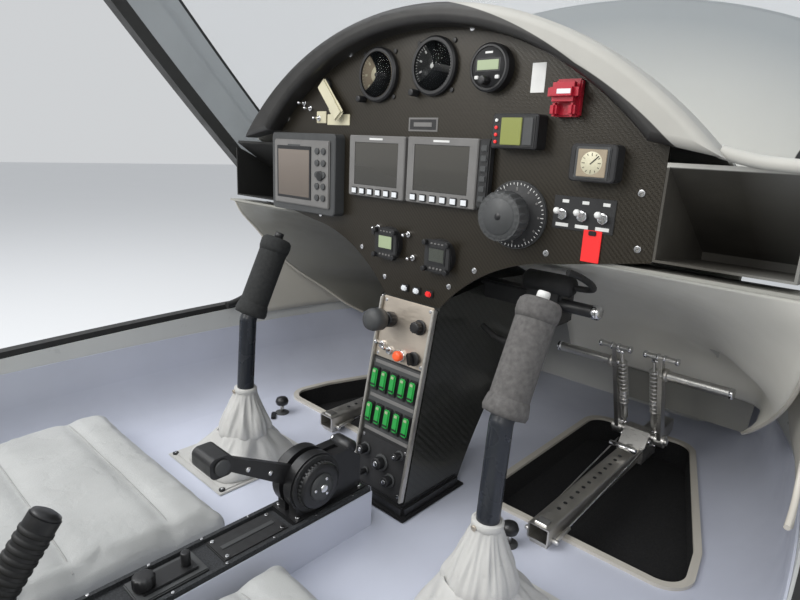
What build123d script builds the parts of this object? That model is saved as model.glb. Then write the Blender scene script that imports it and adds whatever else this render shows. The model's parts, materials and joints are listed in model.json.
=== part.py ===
from build123d import *
import os
from math import atan2, cos, degrees, hypot, radians, sin, sqrt

# Cockpit section of a side-by-side two-seat motor glider, in millimetres.
# X to the right, Y forward, Z up. The origin is the centre of the four bolts
# of the rear bulkhead, on its rear face.

os.makedirs("parts", exist_ok=True)

# Clearances
SEAT_GAP = 0.3       # between a piece and the curved wall that carries it
MOVE_GAP = 6.0       # between the canopy and what it closes on
BORE_GAP = 0.25      # between a pin and its bore, on the radius

# Body shell
WALL = 28.0          # sandwich wall of fuselage and canopy frame
GLASS = 6.0
BULKHEAD = 12.0
FIREWALL = 10.0
PANEL_Y = 1300.0     # pilot's face of the instrument panel
FLOOR_Z = -100.0     # top of the cockpit floor
FIREWALL_Y = 2020.0
WIDE = 800.0         # half of a cut that spans the whole body

# Each station: Y, half width, lowest Z, bottom corner radius, Z where the roof arch springs, top Z
CABIN_STATIONS = [
    (0.0, 545.0, -190.0, 190.0, 170.0, 790.0),
    (550.0, 585.0, -212.0, 190.0, 220.0, 890.0),
    (PANEL_Y, 595.0, -215.0, 180.0, 260.0, 800.0),
    (1520.0, 568.0, -213.0, 175.0, 210.0, 610.0),
    (1690.0, 520.0, -210.0, 170.0, 110.0, 322.0),
]
NOSE_STATIONS = [CABIN_STATIONS[-1], (FIREWALL_Y, 395.0, -200.0, 150.0, 60.0, 290.0)]
SHOULDER_OUT = 0.72  # where the shoulder arc of the roof meets its crown arc
SHOULDER_UP = 0.69

# Canopy rim, seen from the side: a rising straight sill, then an arc up to the nose deck
RIM_REAR_Z = 60.0
RIM_TURN_Y, RIM_TURN_Z = 1450.0, 108.0
RIM_RADIUS = 240.0
RIM_SWEEP = 80.0
SEAL_HEIGHT = 12.0
SEAL_INSET = 3.0
FRAME_BAND = 62.0    # height of the canopy's frame
GLASS_LAP = 18.0     # lip of the frame behind the glass
REAR_EDGE_LOW = (92.0, 60.0)    # slanted rear edge of the canopy, Y and Z at the sill
REAR_EDGE_HIGH = (20.0, 800.0)
REAR_BAND = 60.0
HINGE_Y, HINGE_Z = 1700.0, 358.0
CANOPY_OPEN = 51.0   # degrees, as parked

# Fixing holes
BOLT_X, BOLT_Z = 440.0, 120.0   # rear bulkhead bolts, half spacings
BOLT_R = 5.25
ENGINE_X, ENGINE_Z = 220.0, 130.0
ENGINE_MID_Z = 40.0
ENGINE_R = 5.25


def side(x):
    """Plane seen from the right: local x is Y, local y is Z, extrudes to +X."""
    return Plane(origin=(x, 0, 0), x_dir=(0, 1, 0), z_dir=(1, 0, 0))


def cross(y):
    """Plane seen from the seats: local x is X, local y is Z, extrudes rearward."""
    return Plane(origin=(0, y, 0), x_dir=(1, 0, 0), z_dir=(0, -1, 0))


def level(z):
    return Plane.XY.offset(z)


def keep(builder, name):
    builder.part.label = name
    export_step(builder.part, f"parts/{name}.step")


def body_outline(row, inset):
    """Face of one closed station of the body, on its own plane."""
    y, wide, low, corner, spring, top = row
    half = wide - inset
    bottom = low + inset
    rise = top - inset - spring
    shoulder = (half * SHOULDER_OUT, spring + rise * SHOULDER_UP)
    with BuildSketch(cross(y)) as outline:
        with BuildLine():
            keel = Line((corner - wide, bottom), (wide - corner, bottom))
            TangentArc(keel @ 1, (half, low + corner), tangent=(1, 0))
            Line((half, low + corner), (half, spring))
            TangentArc((half, spring), shoulder, tangent=(0, 1))
            ThreePointArc(shoulder, (0, top - inset), (-shoulder[0], shoulder[1]))
            TangentArc((-half, spring), (-shoulder[0], shoulder[1]), tangent=(0, 1))
            Line((-half, spring), (-half, low + corner))
            TangentArc(keel @ 0, (-half, low + corner), tangent=(-1, 0))
        make_face()
    return outline.sketch


def body_solid(inset):
    """Cabin and nose as one solid, its skin moved inward by inset."""
    with BuildPart() as solid:
        loft([body_outline(row, inset) for row in CABIN_STATIONS])
        loft([body_outline(row, inset) for row in NOSE_STATIONS])
    return solid.part


body_outer = body_solid(0)
body_inner = body_solid(WALL)

rim_angle = degrees(atan2(RIM_TURN_Z - RIM_REAR_Z, RIM_TURN_Y))
rim_out = (-sin(radians(rim_angle)), cos(radians(rim_angle)))
rim_centre = (RIM_TURN_Y + RIM_RADIUS * rim_out[0], RIM_TURN_Z + RIM_RADIUS * rim_out[1])


def rim_end(lift):
    """End of the rim's arc when the rim is moved up by lift."""
    turn = radians(rim_angle - 90 + RIM_SWEEP)
    reach = RIM_RADIUS - lift
    return (rim_centre[0] + reach * cos(turn), rim_centre[1] + reach * sin(turn))


def above_rim(lift, rear_y=-50.0, top_z=1100.0):
    """Face that covers all that lies above the rim moved up by lift, on a side plane."""
    start = (rear_y, RIM_REAR_Z + rear_y * (RIM_TURN_Z - RIM_REAR_Z) / RIM_TURN_Y + lift / rim_out[1])
    bend = (RIM_TURN_Y + lift * rim_out[0], RIM_TURN_Z + lift * rim_out[1])
    mid_turn = radians(rim_angle - 90 + RIM_SWEEP / 2)
    reach = RIM_RADIUS - lift
    middle = (rim_centre[0] + reach * cos(mid_turn), rim_centre[1] + reach * sin(mid_turn))
    end = rim_end(lift)
    climb = radians(rim_angle + RIM_SWEEP)
    run = (top_z - end[1]) / sin(climb)
    top = (end[0] + run * cos(climb), top_z)
    with BuildSketch(side(-WIDE)) as region:
        with BuildLine():
            Line(start, bend)
            ThreePointArc(bend, middle, end)
            Polyline(end, top, (rear_y, top_z), start)
        make_face()
    return region.sketch


def before_edge(shift):
    """Face that covers all that lies ahead of the canopy's rear edge moved forward by shift."""
    (low_y, low_z), (high_y, high_z) = REAR_EDGE_LOW, REAR_EDGE_HIGH
    slope = (high_y - low_y) / (high_z - low_z)
    far_low = (low_y + slope * (-400 - low_z) + shift, -400)
    far_high = (low_y + slope * (1200 - low_z) + shift, 1200)
    with BuildSketch(side(-WIDE)) as region:
        with BuildLine():
            Polyline(far_low, (2300, -400), (2300, 1200), far_high, far_low)
        make_face()
    return region.sketch


# Room inside the cockpit: everything carried inside is trimmed to it
PAN = 5.0            # floor moulding
PAN_CORNER = 95.0    # its large radius into the side wall
PAN_TOP_Z = 60.0
ROOM_INSET = WALL + MOVE_GAP


def room_row(row):
    y, wide, low, corner, spring, top = row
    return (y, wide - ROOM_INSET, FLOOR_Z, PAN_CORNER - PAN, spring, top - ROOM_INSET)


with BuildPart() as room:
    loft([body_outline(room_row(station), 0) for station in CABIN_STATIONS])
    loft([body_outline(room_row(station), 0) for station in NOSE_STATIONS])

# Fuselage shell
with BuildPart() as fuselage_shell:
    add(body_outer)
    add(body_inner, mode=Mode.SUBTRACT)
    extrude(above_rim(0), amount=2 * WIDE, mode=Mode.SUBTRACT)
    with BuildSketch(cross(BULKHEAD)):
        Rectangle(2 * WIDE, 2 * WIDE)
    extrude(amount=BULKHEAD * 2, mode=Mode.SUBTRACT)
keep(fuselage_shell, "fuselage_shell")

# Rear bulkhead with the fixed arch behind the canopy
WINDOW_HALF = 330.0
WINDOW_LOW, WINDOW_SIDE, WINDOW_TOP = 520.0, 640.0, 735.0

with BuildPart() as rear_arch:
    add(body_outer)
    add(body_inner, mode=Mode.SUBTRACT)
    extrude(above_rim(SEAT_GAP), amount=2 * WIDE, mode=Mode.INTERSECT)
    extrude(before_edge(-MOVE_GAP), amount=2 * WIDE, mode=Mode.SUBTRACT)

with BuildPart() as rear_bulkhead:
    extrude(body_outline(CABIN_STATIONS[0], 0), amount=-BULKHEAD)
    add(rear_arch.part)
    with BuildSketch(cross(BULKHEAD)):
        with BuildLine():
            Polyline((-WINDOW_HALF, WINDOW_SIDE), (-WINDOW_HALF, WINDOW_LOW),
                     (WINDOW_HALF, WINDOW_LOW), (WINDOW_HALF, WINDOW_SIDE))
            ThreePointArc((WINDOW_HALF, WINDOW_SIDE), (0, WINDOW_TOP), (-WINDOW_HALF, WINDOW_SIDE))
        make_face()
        fillet(vertices(), 35)
    extrude(amount=BULKHEAD, mode=Mode.SUBTRACT)
    with BuildSketch(cross(BULKHEAD)):
        with GridLocations(2 * BOLT_X, 2 * BOLT_Z, 2, 2):
            Circle(BOLT_R)
    extrude(amount=BULKHEAD, mode=Mode.SUBTRACT)
keep(rear_bulkhead, "rear_bulkhead")

# Firewall, set into the nose
with BuildPart() as firewall:
    extrude(body_outline(NOSE_STATIONS[1], WALL + SEAT_GAP), amount=FIREWALL)
    with BuildSketch(cross(FIREWALL_Y)):
        with Locations((0, ENGINE_MID_Z)):
            with GridLocations(2 * ENGINE_X, 2 * ENGINE_Z, 2, 2):
                Circle(ENGINE_R)
    extrude(amount=FIREWALL, mode=Mode.SUBTRACT)
    add(body_solid(WALL + SEAT_GAP), mode=Mode.INTERSECT)
keep(firewall, "firewall")

# Canopy seal on the sill, cut away at the hinges
HINGE_OUT = 146.0     # middle of each hinge, to the side
HINGE_ARM = 12.0      # width of the canopy's arm
HINGE_EAR = 10.0      # width of each fixed ear
HINGE_PLAY = 1.5
HINGE_WIDE = HINGE_ARM + 2 * (HINGE_PLAY + HINGE_EAR)
with BuildPart() as canopy_seal:
    add(body_solid(SEAL_INSET))
    add(body_solid(WALL - SEAL_INSET), mode=Mode.SUBTRACT)
    extrude(above_rim(SEAT_GAP), amount=2 * WIDE, mode=Mode.INTERSECT)
    extrude(above_rim(SEAL_HEIGHT), amount=2 * WIDE, mode=Mode.SUBTRACT)
    extrude(before_edge(SEAT_GAP - MOVE_GAP), amount=2 * WIDE, mode=Mode.INTERSECT)
    with BuildSketch(cross(FIREWALL_Y)):
        with Locations((HINGE_OUT, HINGE_Z), (-HINGE_OUT, HINGE_Z)):
            Rectangle(HINGE_WIDE + 2 * MOVE_GAP, 2 * HINGE_Z)
    extrude(amount=FIREWALL_Y - RIM_TURN_Y, mode=Mode.SUBTRACT)
keep(canopy_seal, "canopy_seal")

# Canopy, drawn closed and then swung open about its front hinge
FRAME_LIFT = SEAL_HEIGHT + MOVE_GAP
GLASS_LIFT = FRAME_LIFT + FRAME_BAND
HINGE_EYE_R = 14.0
HINGE_PIN_R = 5.0
hinge_axis = Axis((0, HINGE_Y, HINGE_Z), (1, 0, 0))


def swung_open(part):
    return part.rotate(hinge_axis, -CANOPY_OPEN)


def hinge_plate(middle, width, foot):
    """Upright plate with an eye round the hinge axis and a foot given as two points."""
    with BuildPart() as plate:
        with BuildSketch(side(middle - width / 2)):
            with Locations((HINGE_Y, HINGE_Z)):
                Circle(HINGE_EYE_R)
            with BuildLine():
                Polyline((HINGE_Y - HINGE_EYE_R * 0.6, HINGE_Z + HINGE_EYE_R * 0.8), *foot,
                         (HINGE_Y + HINGE_EYE_R * 0.6, HINGE_Z - HINGE_EYE_R * 0.8), close=True)
            make_face()
        extrude(amount=width)
    return plate.part


def pin_across(middle_x, y, z, radius, length):
    """Round bar along X."""
    with BuildPart() as pin:
        with BuildSketch(side(middle_x - length / 2)):
            with Locations((y, z)):
                Circle(radius)
        extrude(amount=length)
    return pin.part


with BuildPart() as glass_opening:
    extrude(above_rim(GLASS_LIFT), amount=2 * WIDE)
    extrude(before_edge(REAR_BAND), amount=2 * WIDE, mode=Mode.INTERSECT)

with BuildPart() as lip_opening:
    extrude(above_rim(GLASS_LIFT + GLASS_LAP), amount=2 * WIDE)
    extrude(before_edge(REAR_BAND + GLASS_LAP), amount=2 * WIDE, mode=Mode.INTERSECT)

with BuildPart() as glass_bed:
    add(glass_opening.part)
    add(body_solid(GLASS + SEAT_GAP), mode=Mode.SUBTRACT)

with BuildPart() as canopy_frame:
    add(body_outer)
    add(body_inner, mode=Mode.SUBTRACT)
    extrude(above_rim(FRAME_LIFT), amount=2 * WIDE, mode=Mode.INTERSECT)
    extrude(before_edge(0), amount=2 * WIDE, mode=Mode.INTERSECT)
    add(glass_bed.part, mode=Mode.SUBTRACT)
    add(lip_opening.part, mode=Mode.SUBTRACT)
    for hand in (-1, 1):
        add(hinge_plate(hand * HINGE_OUT, HINGE_ARM, ((1622, 390), (1652, 350))))
    add(pin_across(0, HINGE_Y, HINGE_Z, HINGE_PIN_R, WIDE), mode=Mode.SUBTRACT)
canopy_frame.part = swung_open(canopy_frame.part)
keep(canopy_frame, "canopy_frame")

with BuildPart() as canopy_glass:
    add(body_outer)
    add(body_solid(GLASS), mode=Mode.SUBTRACT)
    extrude(above_rim(GLASS_LIFT + SEAT_GAP), amount=2 * WIDE, mode=Mode.INTERSECT)
    extrude(before_edge(REAR_BAND + SEAT_GAP), amount=2 * WIDE, mode=Mode.INTERSECT)
canopy_glass.part = swung_open(canopy_glass.part)
keep(canopy_glass, "canopy_glass")

# Fixed hinge ears on the nose deck, with their pins
with BuildPart() as canopy_hinges:
    for hand in (-1, 1):
        for step in (-1, 1):
            ear = hand * HINGE_OUT + step * (HINGE_ARM / 2 + HINGE_PLAY + HINGE_EAR / 2)
            add(hinge_plate(ear, HINGE_EAR, ((1692, 260), (1765, 260))))
        add(pin_across(hand * HINGE_OUT, HINGE_Y, HINGE_Z, HINGE_PIN_R - BORE_GAP,
                       HINGE_WIDE + 8))
    add(body_outer, mode=Mode.SUBTRACT)
keep(canopy_hinges, "canopy_hinges")

# Floor moulding, its sides curving up into the walls, with a footwell on each side
WELL_POINTS = [(112.0, 1385.0), (452.0, 1392.0), (436.0, 1500.0), (320.0, 1860.0), (112.0, 1845.0)]
WELL_ROUND = 38.0
WELL_DEPTH = 52.0
WELL_WALL = 3.0
BEAD = 9.0


def pan_row(row, inset):
    y, wide, low, corner, spring, top = row
    return (y, wide - WALL + 2 - inset, FLOOR_Z - PAN + inset, PAN_CORNER - inset, spring, top)


def well_shape(hand, grow):
    """Rounded outline of a footwell on the floor, grown outward by grow."""
    with BuildSketch(level(FLOOR_Z)) as shape:
        with BuildLine():
            Polyline(*[(hand * x, y) for x, y in WELL_POINTS], close=True)
        make_face()
        fillet(shape.vertices(), WELL_ROUND)
        if grow:
            offset(amount=grow)
    return shape.sketch


def slab(y_low, y_high):
    """Block across the whole body between two stations."""
    with BuildPart() as block:
        with BuildSketch(cross(y_high)):
            Rectangle(2 * WIDE, 4 * WIDE)
        extrude(amount=y_high - y_low)
    return block.part


cabin_fit = body_solid(WALL + SEAT_GAP)

with BuildPart() as floor_hollow:
    loft([body_outline(pan_row(row, PAN), 0) for row in CABIN_STATIONS])
    loft([body_outline(pan_row(row, PAN), 0) for row in NOSE_STATIONS])
floor_space = floor_hollow.part

with BuildPart() as floor_pan:
    loft([body_outline(pan_row(row, 0), 0) for row in CABIN_STATIONS])
    loft([body_outline(pan_row(row, 0), 0) for row in NOSE_STATIONS])
    add(cabin_fit, mode=Mode.INTERSECT)
    add(floor_space, mode=Mode.SUBTRACT)
    with BuildSketch(level(PAN_TOP_Z)):
        with Locations((0, FIREWALL_Y / 2)):
            Rectangle(2 * WIDE, 2 * FIREWALL_Y)
    extrude(amount=WIDE * 2, mode=Mode.SUBTRACT)
    add(slab(BULKHEAD + SEAT_GAP, FIREWALL_Y - FIREWALL - SEAT_GAP), mode=Mode.INTERSECT)
    for hand in (-1, 1):
        extrude(well_shape(hand, 0), amount=PAN, both=True, mode=Mode.SUBTRACT)
keep(floor_pan, "floor_pan")

with BuildPart() as footwells:
    for hand in (-1, 1):
        extrude(well_shape(hand, -SEAT_GAP), amount=-WELL_DEPTH)
    for hand in (-1, 1):
        extrude(well_shape(hand, -SEAT_GAP - WELL_WALL), amount=-WELL_DEPTH + WELL_WALL, mode=Mode.SUBTRACT)
keep(footwells, "footwells")

with BuildPart() as well_trims:
    for hand in (-1, 1):
        extrude(well_shape(hand, BEAD), amount=BEAD * 0.6)
    for hand in (-1, 1):
        extrude(well_shape(hand, -WELL_WALL), amount=BEAD, mode=Mode.SUBTRACT)
keep(well_trims, "well_trims")

# Centre tunnel between the seats, with two rails along its top
TUNNEL_HALF = 38.0
TUNNEL_TOP_Z = -38.0
TUNNEL_REAR_Y, TUNNEL_FRONT_Y = 400.0, 1186.0
TUNNEL_WALL = 3.0
RAIL_SIDE = 6.0

with BuildPart() as centre_tunnel:
    with BuildSketch(cross(TUNNEL_FRONT_Y)):
        with Locations((0, (FLOOR_Z + TUNNEL_TOP_Z) / 2)):
            Rectangle(2 * TUNNEL_HALF, TUNNEL_TOP_Z - FLOOR_Z)
        with Locations((0, (FLOOR_Z + TUNNEL_TOP_Z - TUNNEL_WALL) / 2)):
            Rectangle(2 * (TUNNEL_HALF - TUNNEL_WALL), TUNNEL_TOP_Z - FLOOR_Z - TUNNEL_WALL,
                      mode=Mode.SUBTRACT)
        with Locations((TUNNEL_HALF - RAIL_SIDE, TUNNEL_TOP_Z + RAIL_SIDE / 2),
                       (RAIL_SIDE - TUNNEL_HALF, TUNNEL_TOP_Z + RAIL_SIDE / 2)):
            Rectangle(RAIL_SIDE, RAIL_SIDE)
    extrude(amount=TUNNEL_FRONT_Y - TUNNEL_REAR_Y)
keep(centre_tunnel, "centre_tunnel")

# Seats: one moulded pan with a shelf behind the backrests, and leather cushions on it
SEAT_GAP_SIDE = 4.0
SEAT_WIDE = 485.0
SEAT_FRONT_Y, SEAT_REAR_Y = 1012.0, 560.0
SHELF_Y, SHELF_Z = 235.0, 470.0
SEAT_SHEET = 5.0
CUSHION = 62.0
BACK_CUSHION = 70.0
BACK_WIDE = 430.0
BACK_LONG = 560.0
seat_in = TUNNEL_HALF + SEAT_GAP_SIDE
seat_middle = seat_in + SEAT_WIDE / 2
back_rise = (SHELF_Z - FLOOR_Z, SEAT_REAR_Y - SHELF_Y)
back_length = hypot(*back_rise)
back_out = (0, back_rise[0] / back_length, back_rise[1] / back_length)

with BuildPart() as seat_pan:
    with BuildSketch(side(-WIDE)):
        with BuildLine():
            Polyline((SEAT_FRONT_Y, FLOOR_Z), (SEAT_REAR_Y, FLOOR_Z), (SHELF_Y, SHELF_Z),
                     (BULKHEAD + SEAT_GAP, SHELF_Z))
            offset(amount=SEAT_SHEET, side=Side.RIGHT)
        make_face()
    extrude(amount=2 * WIDE)
    add(room.part, mode=Mode.INTERSECT)
    with BuildSketch(cross(SEAT_FRONT_Y)):
        with Locations((0, FLOOR_Z)):
            Rectangle(2 * (TUNNEL_HALF + SEAT_GAP), 2 * (TUNNEL_TOP_Z + RAIL_SIDE + SEAT_GAP - FLOOR_Z))
    extrude(amount=SEAT_FRONT_Y, mode=Mode.SUBTRACT)
keep(seat_pan, "seat_pan")

for hand, name in ((-1, "left"), (1, "right")):
    low = FLOOR_Z + SEAT_SHEET + SEAT_GAP
    with BuildPart() as seat_cushion:
        with BuildSketch(side(hand * seat_middle - SEAT_WIDE / 2)):
            with BuildLine():
                Polyline((SEAT_FRONT_Y, low), (SEAT_REAR_Y + 60, low), (SEAT_REAR_Y + 60, low + CUSHION),
                         (SEAT_FRONT_Y, low + CUSHION), close=True)
            make_face()
            fillet(vertices().group_by(Axis.Y)[-1].sort_by(Axis.Z)[-1], 26)
        extrude(amount=SEAT_WIDE)
        add(room.part, mode=Mode.INTERSECT)
    keep(seat_cushion, "seat_cushion_" + name)

    lean = Plane(origin=(hand * seat_middle, SEAT_REAR_Y, FLOOR_Z), x_dir=(1, 0, 0), z_dir=back_out)
    with BuildPart() as seat_back:
        with BuildSketch(lean.offset(SEAT_SHEET + SEAT_GAP)):
            with Locations((0, BACK_LONG / 2 - back_length)):
                RectangleRounded(BACK_WIDE, BACK_LONG, 60)
        extrude(amount=BACK_CUSHION)
    keep(seat_back, "seat_back_" + name)

# Throttle quadrant on the tunnel: base, a housing of two discs, and the lever between them
QUADRANT_Y, QUADRANT_Z = 1085.0, 13.0
QUADRANT_R = 45.0
QUADRANT_HALF = 21.0
QUADRANT_BASE = (1044.0, 1180.0, 8.0)    # rear Y, front Y, thickness
LEVER_THICK = 9.0
LEVER_KNOB = (937.0, 99.0)

with BuildPart() as throttle_quadrant:
    rear_y, front_y, thick = QUADRANT_BASE
    with BuildSketch(level(TUNNEL_TOP_Z)):
        with Locations((0, (rear_y + front_y) / 2)):
            Rectangle(2 * (TUNNEL_HALF - 1.5 * RAIL_SIDE - SEAT_GAP), front_y - rear_y)
    extrude(amount=thick)
    with BuildSketch(side(-QUADRANT_HALF)):
        with Locations((QUADRANT_Y, QUADRANT_Z)):
            Circle(QUADRANT_R)
        with BuildLine():
            Polyline((rear_y + 6, TUNNEL_TOP_Z), (front_y - 6, TUNNEL_TOP_Z), (front_y - 6, 22),
                     (front_y - 30, QUADRANT_Z + 30), (QUADRANT_Y, QUADRANT_Z + 30), (rear_y + 6, QUADRANT_Z),
                     close=True)
        make_face()
    extrude(amount=2 * QUADRANT_HALF)
    with BuildSketch(side(-LEVER_THICK / 2 - SEAT_GAP)):
        with Locations((QUADRANT_Y, QUADRANT_Z)):
            Circle(QUADRANT_R + 20)
            Circle(14, mode=Mode.SUBTRACT)
        with Locations((QUADRANT_Y + 75, QUADRANT_Z - 40)):
            Rectangle(90, 130, mode=Mode.SUBTRACT)
        with Locations((QUADRANT_Y, TUNNEL_TOP_Z)):
            Rectangle(200, 2 * thick, mode=Mode.SUBTRACT)
    extrude(amount=LEVER_THICK + 2 * SEAT_GAP, mode=Mode.SUBTRACT)
keep(throttle_quadrant, "throttle_quadrant")

with BuildPart() as throttle_lever:
    with BuildSketch(side(-LEVER_THICK / 2)):
        with Locations((QUADRANT_Y, QUADRANT_Z)):
            Circle(26)
        with BuildLine():
            Polyline((QUADRANT_Y - 10, QUADRANT_Z + 22), (QUADRANT_Y - 16, QUADRANT_Z - 10),
                     (LEVER_KNOB[0], LEVER_KNOB[1] - 9), (LEVER_KNOB[0], LEVER_KNOB[1] + 9), close=True)
        make_face()
        with Locations((QUADRANT_Y, QUADRANT_Z)):
            Circle(14 + SEAT_GAP, mode=Mode.SUBTRACT)
    extrude(amount=LEVER_THICK)
    with BuildSketch(side(-22)):
        with Locations(LEVER_KNOB):
            RectangleRounded(32, 28, 9)
    extrude(amount=44)
keep(throttle_lever, "throttle_lever")

# Airbrake lever between the seats
BRAKE_Y, BRAKE_Z = 700.0, 46.0
with BuildPart() as brake_lever:
    with BuildSketch(level(TUNNEL_TOP_Z)):
        with Locations((0, BRAKE_Y - 60)):
            Rectangle(30, 60)
    extrude(amount=14)
    with BuildSketch(Plane(origin=(0, BRAKE_Y - 60, TUNNEL_TOP_Z + 8), x_dir=(1, 0, 0), z_dir=(0, 0.6, 0.8))):
        Circle(7)
    extrude(amount=80)
    with BuildSketch(Plane(origin=(0, BRAKE_Y - 12, BRAKE_Z - 20), x_dir=(1, 0, 0), z_dir=(0, 0.6, 0.8))):
        Circle(17)
    extrude(amount=105)
keep(brake_lever, "brake_lever")

# Instrument panel: a flat mushroom outline, its foot standing on the pedestal
PANEL = 4.0
PANEL_HALF = 368.0
PANEL_SIDE = (371.0, 505.0)         # lowest and highest Z of the straight side edge
PANEL_TOP_Z = 664.0
PANEL_FLARE = (156.0, 324.0)        # a point on the flare between foot and lower edge
PANEL_EDGE = (251.0, 350.0)
FOOT_HALF, FOOT_Z = 60.0, 247.0

# Round instruments: name, X, Z, bezel radius, depth before the panel
ROUND = {
    "airspeed_dial": (-91.0, 597.0, 41.0, 9.0),
    "altimeter_dial": (23.0, 604.0, 41.0, 9.0),
    "radio_unit": (126.0, 596.0, 31.0, 16.0),
}
LOWER_GAUGES = [(-52.0, 335.0), (57.0, 330.0)]
LOWER_R = 27.0
SELECTOR = (182.0, 407.0)
SELECTOR_R = 46.0
# Square instruments: name, X, Z, width, height, depth before the panel, corner radius
SQUARE = {
    "display_left": (-82.5, 455.5, 126.0, 98.0, 12.0, 3.0),
    "display_right": (52.0, 456.0, 132.0, 98.0, 12.0, 3.0),
    "gps_unit": (-260.5, 435.0, 181.0, 140.0, 22.0, 8.0),
    "logger_unit": (180.0, 515.0, 68.0, 44.0, 24.0, 4.0),
    "square_gauge": (290.0, 481.0, 58.0, 44.0, 22.0, 6.0),
}
BODY_SHARE = 0.88                   # size of an instrument's body against its bezel
BODY_DEPTH = 34.0                   # how far it reaches behind the panel
CUT_GAP = 0.5


def panel_sketch():
    with BuildSketch(cross(PANEL_Y)) as outline:
        with BuildLine():
            low_z, high_z = PANEL_SIDE
            Line((-FOOT_HALF, FOOT_Z), (FOOT_HALF, FOOT_Z))
            for hand in (-1, 1):
                ThreePointArc((hand * FOOT_HALF, FOOT_Z), (hand * PANEL_FLARE[0], PANEL_FLARE[1]),
                              (hand * PANEL_EDGE[0], PANEL_EDGE[1]))
                Polyline((hand * PANEL_EDGE[0], PANEL_EDGE[1]), (hand * PANEL_HALF, low_z),
                         (hand * PANEL_HALF, high_z))
            ThreePointArc((PANEL_HALF, high_z), (0, PANEL_TOP_Z), (-PANEL_HALF, high_z))
        make_face()
    return outline.sketch


with BuildPart() as instrument_panel:
    extrude(panel_sketch(), amount=-PANEL)
    with BuildSketch(cross(PANEL_Y)):
        for x, z, bezel_r, depth in ROUND.values():
            with Locations((x, z)):
                Circle(bezel_r * BODY_SHARE + CUT_GAP)
        for x, z, wide, high, depth, corner in SQUARE.values():
            with Locations((x, z)):
                Rectangle(wide * BODY_SHARE + 2 * CUT_GAP, high * BODY_SHARE + 2 * CUT_GAP)
        for spot in LOWER_GAUGES:
            with Locations(spot):
                Circle(LOWER_R * BODY_SHARE + CUT_GAP)
    extrude(amount=-PANEL, mode=Mode.SUBTRACT)
keep(instrument_panel, "instrument_panel")

for name, (x, z, bezel_r, depth) in ROUND.items():
    with BuildPart() as dial:
        with BuildSketch(cross(PANEL_Y)):
            with Locations((x, z)):
                Circle(bezel_r)
        extrude(amount=depth)
        chamfer(dial.faces().sort_by(Axis.Y)[0].edges(), 2.5)
        with BuildSketch(cross(PANEL_Y - depth)):
            with Locations((x, z)):
                Circle(bezel_r * 0.84)
        extrude(amount=-3, mode=Mode.SUBTRACT)
        with BuildSketch(cross(PANEL_Y)):
            with Locations((x, z)):
                Circle(bezel_r * BODY_SHARE)
        extrude(amount=-BODY_DEPTH)
    keep(dial, name)

for name, (x, z, wide, high, depth, corner) in SQUARE.items():
    with BuildPart() as unit:
        with BuildSketch(cross(PANEL_Y)):
            with Locations((x, z)):
                RectangleRounded(wide, high, corner)
        extrude(amount=depth)
        chamfer(unit.faces().sort_by(Axis.Y)[0].edges(), 1.5)
        with BuildSketch(cross(PANEL_Y - depth)):
            with Locations((x, z + high * 0.04)):
                Rectangle(wide * 0.78, high * 0.7)
        extrude(amount=-2, mode=Mode.SUBTRACT)
        with BuildSketch(cross(PANEL_Y)):
            with Locations((x, z)):
                Rectangle(wide * BODY_SHARE, high * BODY_SHARE)
        extrude(amount=-BODY_DEPTH)
    keep(unit, name)

with BuildPart() as lower_gauges:
    for x, z in LOWER_GAUGES:
        with BuildSketch(cross(PANEL_Y)):
            with Locations((x, z)):
                Circle(LOWER_R)
        extrude(amount=10)
        with BuildSketch(cross(PANEL_Y)):
            with Locations((x, z)):
                Circle(LOWER_R * BODY_SHARE)
        extrude(amount=-BODY_DEPTH)
keep(lower_gauges, "lower_gauges")

with BuildPart() as selector_knob:
    with BuildSketch(cross(PANEL_Y)):
        with Locations(SELECTOR):
            Circle(SELECTOR_R)
    extrude(amount=5)
    with BuildSketch(cross(PANEL_Y - 5)):
        with Locations(SELECTOR):
            Circle(18)
    extrude(amount=20)
    with BuildSketch(cross(PANEL_Y - 22)):
        with Locations(SELECTOR):
            Circle(32)
    extrude(amount=24)
keep(selector_knob, "selector_knob")

# Toggle switches, warning lamps and the guarded handle on the panel
TOGGLES = [(250.0, 416.0), (277.0, 416.0), (304.0, 416.0)]
LAMPS = [(-14.0, 266.0), (12.0, 266.0), (38.0, 266.0)]
GUARD = (242.0, 556.0)
with BuildPart() as panel_switches:
    for x, z in TOGGLES:
        with BuildSketch(cross(PANEL_Y)):
            with Locations((x, z)):
                RegularPolygon(7, 6)
        extrude(amount=4)
        with BuildSketch(cross(PANEL_Y - 4)):
            with Locations((x, z)):
                Circle(3)
        extrude(amount=14)
    for x, z in LAMPS:
        with BuildSketch(cross(PANEL_Y)):
            with Locations((x, z)):
                Circle(5.5)
        extrude(amount=7)
keep(panel_switches, "panel_switches")

with BuildPart() as guard_handle:
    with BuildSketch(cross(PANEL_Y)):
        with Locations(GUARD):
            RectangleRounded(26, 30, 3)
    extrude(amount=14)
    with BuildSketch(cross(PANEL_Y - 14)):
        with Locations((GUARD[0], GUARD[1] + 4)):
            RectangleRounded(38, 18, 6)
    extrude(amount=16)
keep(guard_handle, "guard_handle")

# Hood: a thick rolled rim round the panel's top, and the cover that runs forward under the glass
HOOD_HALF, HOOD_TIP_Z, HOOD_TOP_Z = 432.0, 493.0, 684.0
RIM_DEEP = 36.0
RIM_IN_HALF, RIM_IN_Z, RIM_IN_TOP_Z = 352.0, 508.0, 657.0
COVER = 3.5
# Cover sections: Y, half width, Z of the side edge, top Z
COVER_SECTIONS = [
    (PANEL_Y, HOOD_HALF, HOOD_TIP_Z, HOOD_TOP_Z),
    (1450.0, 430.0, 415.0, 598.0),
    (1600.0, 400.0, 275.0, 402.0),
    (1700.0, 372.0, 160.0, 280.0),
]

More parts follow.
